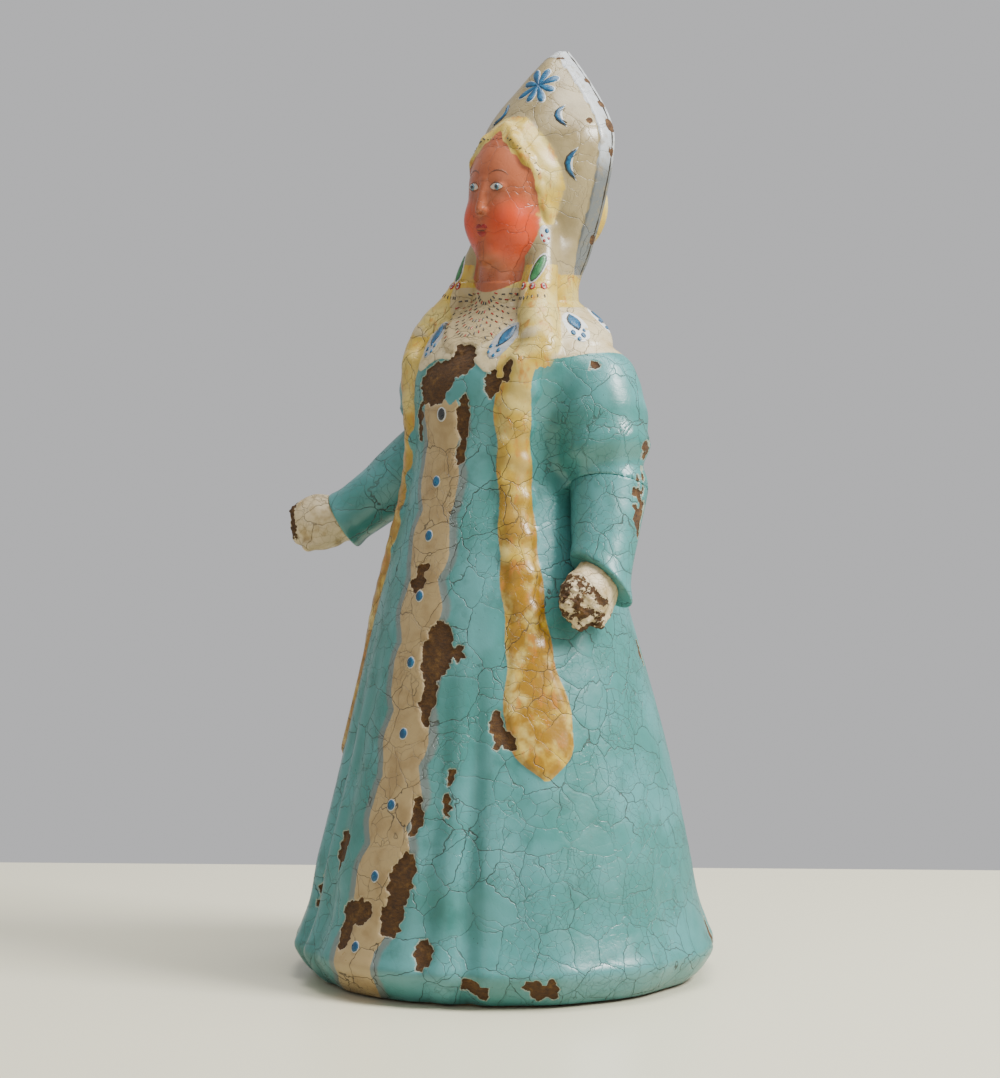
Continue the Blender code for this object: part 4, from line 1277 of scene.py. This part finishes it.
def crest_brushwork(blue, pale, ink):
    star = (3.0, 20.0, 404.5)
    for i in range(8):
        angle = math.radians(12 + 45 * i)
        reach = 10.4 if i % 2 else 9.0
        x, y = math.sin(angle), math.cos(angle)
        tip = (x * reach, y * reach * 1.12)
        pale.stroke(star, ((0, 0), (tip[0] * 1.06, tip[1] * 1.06)), 2.7, "petal")
        blue.stroke(star, ((0, 0), tip), 2.25, "petal", raise_by=0.1)
        ink.stroke(star, ((x * 1.5, y * 1.5), (tip[0] * 0.72, tip[1] * 0.72)), 0.28, raise_by=0.2)
    moons = (
        (crest_place(1, 391, 20), ((1.6, 5.8), (-1.7, 0.3), (2.5, -5.6))),
        (crest_place(1, 369, 18), ((2.7, 6.9), (-1.9, 0.4), (1.9, -6.8))),
        (crest_place(-1, 392, 25), ((-0.6, 6.2), (2.0, 0.2), (-2.6, -5.8))),
        (crest_place(-1, 369, 19), ((-2.7, 6.9), (1.9, 0.4), (-1.9, -6.8))),
    )
    for centre, line in moons:
        turn = 1 if line[1][0] < 0 else -1
        wide = tuple((x, y * 1.16) for x, y in line)
        pale.stroke(centre, tuple((x + 0.6 * turn, y * 0.97) for x, y in wide), 1.9)
        ink.stroke(centre, tuple((x - 0.15 * turn, y * 1.04) for x, y in line), 1.6)
        blue.stroke(centre, tuple((x + 0.15 * turn, y * 0.95) for x, y in line), 1.35, raise_by=0.12)
        ink.stroke(centre, tuple((x + 0.35 * turn, y * 0.7) for x, y in line), 0.22, raise_by=0.24)


def lock_place(z, degrees):
    """A point on the lock beside the neck, in a direction seen from its middle."""
    rows = sorted((up, left, back, radius) for left, back, up, radius in BRAID_NECK)
    left, back, radius = (float(curve(rows, column)(z)) for column in (1, 2, 3))
    angle = math.radians(degrees)
    return left + radius * math.sin(angle), back - radius * math.cos(angle), float(z)


def temple_brushwork(blue, pale, ink, red, green):
    rosette = lock_place(337, 45)
    pale.stroke(rosette, ((-0.5, 4.6), (0.6, -4.6)), 3.1, "round", both=True)
    for centre, radius, brush in (
        ((1.0, 1.9), 1.15, blue), ((-1.4, -0.2), 0.75, red), ((1.5, -1.6), 0.75, red),
        ((-0.6, -2.8), 0.75, red),
    ):
        x, z = centre
        brush.stroke(rosette, ((x, z + radius), (x, z - radius)), radius, "round", both=True, raise_by=0.14)
    drop, lean = lock_place(322, 30), (2, 8, 12)
    pale.stroke(drop, ((0, 8.4), (0, -8.4)), 3.7, "round", up=lean, both=True)
    ink.stroke(drop, ((0, 7.4), (0, -7.4)), 2.9, "round", up=lean, both=True, raise_by=0.08)
    green.stroke(drop, ((0, 6.8), (0, -6.8)), 2.4, "round", up=lean, both=True, raise_by=0.16)
    pale.stroke(drop, ((-0.7, 4.2), (-1.1, -1.0)), 0.28, up=lean, both=True, raise_by=0.34)
    for degrees in (-10, 22, 54):
        place = lock_place(313.5, degrees)
        red.dot(place, 1.85, both=True)
        pale.dot(place, 1.3, both=True, raise_by=0.1)
        ink.dot(place, 0.55, both=True, raise_by=0.2)
    for i in range(7):
        x = 19.0 + i * 1.9
        place = (x, -13.0 + 0.045 * (x - 19) ** 2, 309.0)
        ink.stroke(place, ((0, 0.8), (0, -0.8)), 0.33, "even", both=True)


# Collar ornaments: angle from straight ahead, height, direction of the tip, half length and half width,
# then the dots below each as right, up and radius.
ALMONDS = (
    (36, 292, (1.5, 9.5, 8.0), 6.6, 2.8,
     ((-3.2, -8.2, 1.1), (1.6, -8.8, 1.2), (-2.4, -11.4, 0.9), (1.0, -12.2, 1.0), (-0.6, -6.8, 0.7))),
    (78, 298, (-12.0, 5.5, 7.5), 6.0, 3.1,
     ((-3.0, -7.8, 1.5), (1.4, -9.6, 1.5), (-1.4, -12.2, 1.3), (2.6, -6.6, 1.0))),
    (112, 300, (-12.0, 6.0, 7.5), 6.0, 2.9, ((-2.6, -7.8, 1.4), (1.8, -9.4, 1.3), (-0.6, -11.8, 1.0))),
    (146, 300, (-4.0, -3.0, 9.0), 5.4, 2.3, ((-2.6, -7.8, 1.4), (1.8, -9.4, 1.3), (-0.6, -11.8, 1.0))),
)


def collar_brushwork(blue, white, ash, ink, red):
    for i, (degrees, z, lean, length, width, dots) in enumerate(ALMONDS):
        centre = tuple(BODY.point(z, BODY.bearing(z, degrees)))
        ground = ash if i == 0 else white
        foot = min(y for _, y, _ in dots) - 2.2
        ground.stroke(centre, ((0, length + 2.4), (0.2, foot)), width * 2.15, "round", up=lean, both=True)
        edge = length + 0.7
        ink.stroke(centre, ((0, edge), (0, -edge)), width + 0.6, up=lean, both=True, raise_by=0.12)
        blue.stroke(centre, ((0, length), (0, -length)), width, up=lean, both=True, raise_by=0.22)
        for x, y, radius in dots:
            blue.stroke(
                centre, ((x, y + radius), (x, y - radius)), radius * 0.85, "round", up=lean, both=True,
                raise_by=0.14,
            )
    rng = random.Random(5)
    for ring, share in enumerate((0.20, 0.34, 0.47, 0.60, 0.73, 0.95)):
        count = int(6 + 24 * share)
        for i in range(count):
            angle = math.pi * (i + 0.5 + rng.uniform(-0.15, 0.15)) / count
            x, down = 22.5 * share * math.cos(angle), 27.0 * share * math.sin(angle)
            place = (x, -8.0 - 0.92 * down + 0.012 * x * x, 311.5 - down)
            if place[2] < 289.0:
                continue
            turn = angle + rng.uniform(-0.3, 0.3)
            tip = (math.cos(turn) * 0.85, -math.sin(turn) * 0.85)
            brush = red if (ring + i) % 3 == 0 else ink
            brush.stroke(place, (tip, (-tip[0], -tip[1])), 0.34, "even")


BUTTONS, BUTTON_TOP = 8, 227.0  # down the trim, the top one's height
BUTTON_GAP, BUTTON_GROWTH, BUTTON_GAP_MOST = 24.0, 2.5, 31.0  # the gaps widen downward, up to a limit


def trim_brushwork(blue, pale, ink):
    z, gap = BUTTON_TOP, BUTTON_GAP
    for _ in range(BUTTONS):
        place = tuple(BODY.point(z, float(trim_angle(z)) - 1.0))
        pale.dot(place, 2.75)
        blue.dot(place, 2.3, raise_by=0.2)
        ink.stroke(place, ((-1.1, 1.2), (-1.6, 0), (-0.9, -1.3)), 0.35, raise_by=0.3)
        z, gap = z - gap, min(gap + BUTTON_GROWTH, BUTTON_GAP_MOST)
    lost = tuple(BODY.point(257.0, -0.5))
    pale.dot(lost, 3.3)
    ink.dot(lost, 2.5, tall=1.1, raise_by=0.05)


def face_brushwork(blue, pale, ink, red, brown):
    eye = (7.5, -13.5, 358.8)
    pale.stroke(eye, ((-3.7, -0.1), (0, 0.25), (3.8, 0.2)), 1.9, "round", both=True)
    blue.dot(eye, 1.75, both=True, raise_by=0.05)
    ink.dot(eye, 0.85, both=True, raise_by=0.13)
    # A small pale dot high in each eye: a painted highlight, laid with the eye-white enamel.
    pale.dot((8.0, -13.5, 359.5), 0.28, both=True, raise_by=0.22)
    brown.stroke(eye, ((-4.0, 0.0), (0, 2.3), (4.3, 0.2)), 0.42, both=True, raise_by=0.12)
    brown.stroke(eye, ((-3.2, -1.1), (0.3, -2.0), (3.7, -0.5)), 0.2, both=True, raise_by=0.08)
    brown.stroke((7.9, -14.0, 365.6), ((-4.6, -0.6), (0.2, 1.1), (5.0, -1.2)), 0.5, both=True)
    red.stroke((0, -15.5, 340.3), ((-3.7, -0.3), (-1.5, 0.8), (0.3, -0.1)), 1.15, "leaf", both=True)
    red.stroke((0, -15.3, 338.1), ((-2.9, 0.5), (0, -0.6), (2.9, 0.5)), 1.45, "leaf")
    ink.stroke((0, -15.5, 339.3), ((-2.8, 0.2), (0, -0.2), (2.8, 0.2)), 0.16, raise_by=0.2)
    brown.dot((1.7, -16.0, 346.9), 0.4, both=True)
    rng = random.Random(9)
    for i in range(26):
        angle = math.radians(18 + 5.6 * i + rng.uniform(-2, 2))
        x, z = 19.0 * math.cos(angle), 355.5 + 27.6 * math.sin(angle)
        place = (x, -9.0 + 0.03 * x * x, z)
        size = rng.uniform(0.25, 0.7)
        line = ((-size, rng.uniform(-0.5, 0.5)), (size, rng.uniform(-0.5, 0.5)))
        ink.stroke(place, line, size * 0.5, "even")


def brushwork():
    blue = Brush("blue_brushwork", (0.003, 0.045, 0.105), (0.009, 0.095, 0.19), 0.36)
    pale = Brush("pale_brushwork", (0.36, 0.37, 0.35), (0.45, 0.44, 0.40), 0.14)
    white = Brush("white_brushwork", (0.56, 0.57, 0.56), (0.50, 0.50, 0.47), 0.12)
    ash = Brush("ash_brushwork", (0.24, 0.25, 0.25), (0.33, 0.33, 0.32), 0.14)
    ink = Brush("ink_brushwork", (0.018, 0.020, 0.022), (0.035, 0.03, 0.028), 0.22)
    red = Brush("red_brushwork", (0.26, 0.010, 0.006), (0.18, 0.008, 0.005), 0.24)
    green = Brush("green_brushwork", (0.015, 0.10, 0.03), (0.03, 0.15, 0.045), 0.40)
    sclera = Brush("eye_white_brushwork", (0.50, 0.42, 0.36), (0.46, 0.37, 0.30), 0.10, "skin_enamel")
    iris = Brush("iris_brushwork", (0.05, 0.12, 0.17), (0.09, 0.18, 0.23), 0.14, "skin_enamel")
    brown = Brush("brown_brushwork", (0.16, 0.05, 0.018), (0.11, 0.03, 0.012), 0.12, "skin_enamel")
    crest_brushwork(blue, pale, ink)
    temple_brushwork(blue, pale, ink, red, green)
    collar_brushwork(blue, white, ash, ink, red)
    trim_brushwork(blue, pale, ink)
    face_brushwork(iris, sclera, ink, red, brown)
    for brush in (blue, pale, white, ash, ink, red, green, sclera, iris, brown):
        brush.lay()


# ---------------------------------------------------------------- meshing

def evaluate(field, points, size=400000):
    parts = [field(points[start:start + size]) for start in range(0, len(points), size)]
    return np.concatenate(parts)


def sampled(field, low, high, step):
    """The field on a grid, exact near its surface and only its sign elsewhere."""
    block = 4
    count = np.ceil((np.array(high) - np.array(low)) / (step * block)).astype(int)
    axes = [low[i] + np.arange(count[i]) * step * block for i in range(3)]
    corner = np.stack(np.meshgrid(*axes, indexing="ij"), axis=-1).reshape(-1, 3)
    middle = evaluate(field, corner + step * (block - 1) / 2)
    grid = np.repeat(np.repeat(np.repeat(
        middle.reshape(count), block, axis=0), block, axis=1), block, axis=2)
    active = np.flatnonzero(np.abs(middle) < step * block * 1.6)
    offsets = np.stack(np.meshgrid(*[np.arange(block)] * 3, indexing="ij"), axis=-1).reshape(-1, 3)
    values = evaluate(field, (corner[active][:, None, :] + offsets[None] * step).reshape(-1, 3))
    where = np.stack(np.unravel_index(active, count), axis=-1)[:, None, :] * block + offsets[None]
    where = where.reshape(-1, 3)
    grid[where[:, 0], where[:, 1], where[:, 2]] = values
    return grid


def surface(field, low, high, step, relax=2):
    """Points and four-sided faces on the field's zero surface."""
    low = np.array(low, dtype=np.float64)
    grid = sampled(field, low, high, step)
    shape = np.array(grid.shape)
    cells, places, loops = [], [], []
    for axis in range(3):
        first = [slice(None)] * 3
        second = [slice(None)] * 3
        first[axis], second[axis] = slice(0, -1), slice(1, None)
        start, end = grid[tuple(first)], grid[tuple(second)]
        hits = np.stack(np.nonzero((start < 0) != (end < 0)), axis=-1)
        a, b = (axis + 1) % 3, (axis + 2) % 3
        hits = hits[(hits[:, a] > 0) & (hits[:, b] > 0)]
        v0 = start[hits[:, 0], hits[:, 1], hits[:, 2]]
        v1 = end[hits[:, 0], hits[:, 1], hits[:, 2]]
        place = hits.astype(np.float64)
        place[:, axis] += v0 / (v0 - v1)
        corners = []
        for da, db in ((-1, -1), (0, -1), (0, 0), (-1, 0)):
            cell = hits.copy()
            cell[:, a] += da
            cell[:, b] += db
            corners.append(np.ravel_multi_index(cell.T, shape))
        corners = np.stack(corners, axis=-1)
        flip = v0 > v1
        corners[flip] = corners[flip][:, ::-1]
        cells.append(corners.reshape(-1))
        places.append(np.repeat(place, 4, axis=0))
        loops.append(corners)
    cells, places = np.concatenate(cells), np.concatenate(places)
    index = np.unique(cells, return_inverse=True)[1]
    count = np.bincount(index)
    points = np.stack([np.bincount(index, places[:, i]) / count for i in range(3)], axis=-1)
    points = low + points * step
    faces = index.reshape(-1, 4)
    for _ in range(relax):
        points = even_out(points, faces)
        points = settle(field, points, step)
    return points, faces


def even_out(points, faces):
    centre = points[faces].mean(axis=1)
    index = faces.reshape(-1)
    count = np.bincount(index, minlength=len(points))
    spread = np.repeat(centre, 4, axis=0)
    return np.stack([np.bincount(index, spread[:, i], len(points)) / count for i in range(3)], axis=-1)


def slope(field, points, reach):
    columns = []
    for axis in range(3):
        shift = np.zeros(3)
        shift[axis] = reach
        columns.append(evaluate(field, points + shift) - evaluate(field, points - shift))
    return np.stack(columns, axis=-1) / (2 * reach)


def settle(field, points, step):
    value = evaluate(field, points)
    gradient = slope(field, points, step * 0.3)
    size = np.maximum((gradient ** 2).sum(axis=1), 0.2)
    move = np.clip(value / size, -step, step)
    return points - move[:, None] * gradient


def new_mesh(name, points, faces):
    mesh = bpy.data.meshes.new(name)
    mesh.vertices.add(len(points))
    mesh.vertices.foreach_set("co", (np.asarray(points) / METRE).astype(np.float32).reshape(-1))
    faces = np.asarray(faces)
    corners = faces.shape[1]
    mesh.loops.add(faces.size)
    mesh.loops.foreach_set("vertex_index", faces.reshape(-1).astype(np.int32))
    mesh.polygons.add(len(faces))
    mesh.polygons.foreach_set("loop_start", np.arange(0, faces.size, corners, dtype=np.int32))
    mesh.update(calc_edges=True)
    mesh.validate()
    return mesh


def new_piece(name, mesh, slot, *replaced):
    piece = bpy.data.objects.new(name, mesh)
    bpy.context.scene.collection.objects.link(piece)
    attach(piece, "root")
    if replaced:
        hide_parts(*replaced)
    return piece


def points_of(mesh):
    points = np.empty(len(mesh.vertices) * 3, dtype=np.float32)
    mesh.vertices.foreach_get("co", points)
    return points.reshape(-1, 3).astype(np.float64) * METRE


def set_attribute(mesh, name, values):
    made = mesh.attributes.new(name, "FLOAT", "POINT")
    made.data.foreach_set("value", np.asarray(values, dtype=np.float32))


def cut(tools, point, normal):
    """Cuts the mesh by a plane, keeps what is behind it and closes the section."""
    geometry = [*tools.verts, *tools.edges, *tools.faces]
    result = bmesh.ops.bisect_plane(
        tools, geom=geometry, dist=1e-7, plane_co=Vector(point) / METRE, plane_no=normal,
        clear_outer=True,
    )
    edges = [item for item in result["geom_cut"] if isinstance(item, bmesh.types.BMEdge)]
    edges = [edge for edge in edges if edge.is_boundary]
    bmesh.ops.triangle_fill(tools, use_beauty=True, use_dissolve=False, edges=edges, normal=normal)


def shell_mesh(name, skin, hollow, planes):
    """A shell between a fine skin and a coarse hollow, cut by planes."""
    tools = bmesh.new()
    for (points, faces), turn in ((skin, False), (hollow, True)):
        mesh = new_mesh("part of " + name, points, faces[:, ::-1] if turn else faces)
        tools.from_mesh(mesh)
        bpy.data.meshes.remove(mesh)
    for point, normal in planes:
        cut(tools, point, Vector(normal).normalized())
    mesh = bpy.data.meshes.new(name)
    tools.to_mesh(mesh)
    tools.free()
    mesh.shade_smooth()
    mesh.set_sharp_from_angle(angle=math.radians(55))
    return mesh


def body_shells():
    low = np.array((-HEM - 6, -HEM - 6, -2.0))
    high = np.array((HEM + 6, HEM + 6, NECK_Z + 6))
    points, faces = surface(figure_field, low, high, FINE)
    normal = slope(figure_field, points, 0.5)
    normal /= np.linalg.norm(normal, axis=1)[:, None]
    points = points + normal * layer_height(points)[:, None]
    hollow = surface(cavity_field, low - 10, high + 14, COARSE, relax=1)
    top = ((0, 0, NECK_Z + JOIN), (0, 0, 1))
    bottom = ((0, 0, FOOT_Z), (0, 0, -1))
    shells = []
    for name, node, seam in (
        ("gown_front", "body_front_shell", ((0, SEAM_Y - GAP, 0), (0, 1, 0))),
        ("gown_back", "body_back_shell", ((0, SEAM_Y + GAP, 0), (0, -1, 0))),
    ):
        mesh = shell_mesh(name, (points, faces), hollow, (seam, top, bottom))
        paint_gown(mesh)
        mesh.materials.append(gown_material())
        shells.append(new_piece(name, mesh, "gown_enamel", node))
    return shells


def head_shells():
    low = np.array((-42.0, -28.0, HEAD_Z - 5))
    high = np.array((42.0, 58.0, CROWN_Z + 3))
    skin = surface(figure_field, low, high, HEAD_FINE)
    hollow = surface(head_cavity_field, low - 8, high + 4, 3.0, relax=1)
    bottom = ((0, 0, HEAD_Z - JOIN), (0, 0, -1))
    foot = Vector((0, CREST_FOOT_Y, CREST_FOOT_Z))
    out = Vector((0, 1, -CREST_SLOPE)).normalized()
    shells = []
    for name, node, seam in (
        ("head_front", "head_front_shell", (foot - out * GAP, out)),
        ("head_back", "head_back_shell", (foot + out * GAP, -out)),
    ):
        mesh = shell_mesh(name, skin, hollow, (seam, bottom))
        paint_head(mesh)
        mesh.materials.append(head_material())
        shells.append(new_piece(name, mesh, "headdress_enamel", node))
    return shells


def limb(name, parts, slot, node, material, worn):
    field, low, high = parts
    points, faces = surface(field, low, high, ARM_FINE)
    bare = worn(points)
    if worn is bare_reach:
        normal = slope(field, points, 0.4)
        normal /= np.maximum(np.linalg.norm(normal, axis=1)[:, None], 0.1)
        points = points - normal * (CHIP_DEPTH * smoothstep(-0.55, 0.55, bare))[:, None]
    mesh = new_mesh(name, points, faces)
    mesh.shade_smooth()
    mesh.set_sharp_from_angle(angle=math.radians(50))
    store(mesh, "bare", bare)
    mesh.materials.append(material)
    return new_piece(name, mesh, slot, node)


# ---------------------------------------------------------------- stage

def camera_and_stage():
    azimuth = math.radians(43.0)
    distance, height, pitch = 1.6, 0.311, math.radians(4.0)
    lens, aside = 117.4, 0.0023
    camera = bpy.data.cameras.new("camera")
    camera.sensor_fit = "VERTICAL"
    camera.sensor_height = 36.0
    camera.lens = lens
    camera.clip_end = 50
    placed = bpy.data.objects.new("camera", camera)
    bpy.context.scene.collection.objects.link(placed)
    right = Vector((math.cos(azimuth), math.sin(azimuth), 0))
    away = Vector((math.sin(azimuth), -math.cos(azimuth), 0))
    placed.location = away * distance + Vector((0, 0, height)) - right * aside
    forward = -away * math.cos(pitch) + Vector((0, 0, -math.sin(pitch)))
    placed.rotation_mode = "QUATERNION"
    placed.rotation_quaternion = forward.to_track_quat("-Z", "Y")
    bpy.context.scene.camera = placed
    return away, right


def plain_material(name, colour, roughness):
    made = bpy.data.materials.new(name)
    made.use_nodes = True
    shader = made.node_tree.nodes["Principled BSDF"]
    shader.inputs["Base Color"].default_value = (*colour, 1)
    shader.inputs["Roughness"].default_value = roughness
    return made


TABLE = 3.0  # metres along each side
TABLE_BEHIND, TABLE_TURN = 0.293, math.radians(2.8)  # what lies behind the figure, and the table's turn


def stage(away, right):
    bpy.ops.mesh.primitive_plane_add(size=TABLE, location=away * (TABLE / 2 - TABLE_BEHIND))
    floor = bpy.context.object
    floor.name = "floor"
    floor.rotation_euler = (0, 0, math.atan2(right.y, right.x) - TABLE_TURN)
    floor.data.materials.append(plain_material("floor_paint", (0.64, 0.605, 0.45), 0.35))
    world = bpy.data.worlds.new("studio")
    bpy.context.scene.world = world
    world.use_nodes = True
    world.node_tree.nodes["Background"].inputs[0].default_value = (0.88, 0.88, 0.90, 1)
    world.node_tree.nodes["Background"].inputs[1].default_value = 0.64
    for name, place, size, power in (
        ("key", right * 1.15 + away * 0.50 + Vector((0, 0, 1.2)), 0.55, 58.0),
        ("top", right * 0.25 + away * 0.05 + Vector((0, 0, 1.45)), 0.9, 24.0),
        ("fill", away * 1.5 - right * 0.9 + Vector((0, 0, 0.9)), 1.0, 2.5),
    ):
        light = bpy.data.lights.new(name, "AREA")
        light.size = size
        light.energy = power
        lamp = bpy.data.objects.new(name, light)
        lamp.location = place
        lamp.rotation_euler = (Vector((0, 0, 0.22)) - place).to_track_quat("-Z", "Y").to_euler()
        bpy.context.scene.collection.objects.link(lamp)


def main():
    away, right = camera_and_stage()
    stage(away, right)
    finish_carried_over()
    body_shells()
    head_shells()
    for side, arm in ARMS.items():
        limb(
            f"{side}_sleeve", forearm_field(arm), "gown_enamel", f"{side}_forearm", gown_material(),
            bare_reach,
        )
        limb(f"{side}_mitten", hand_field(arm), "hand_gesso", f"{side}_hand", hand_material(), hand_worn(arm))
    brushwork()


main()
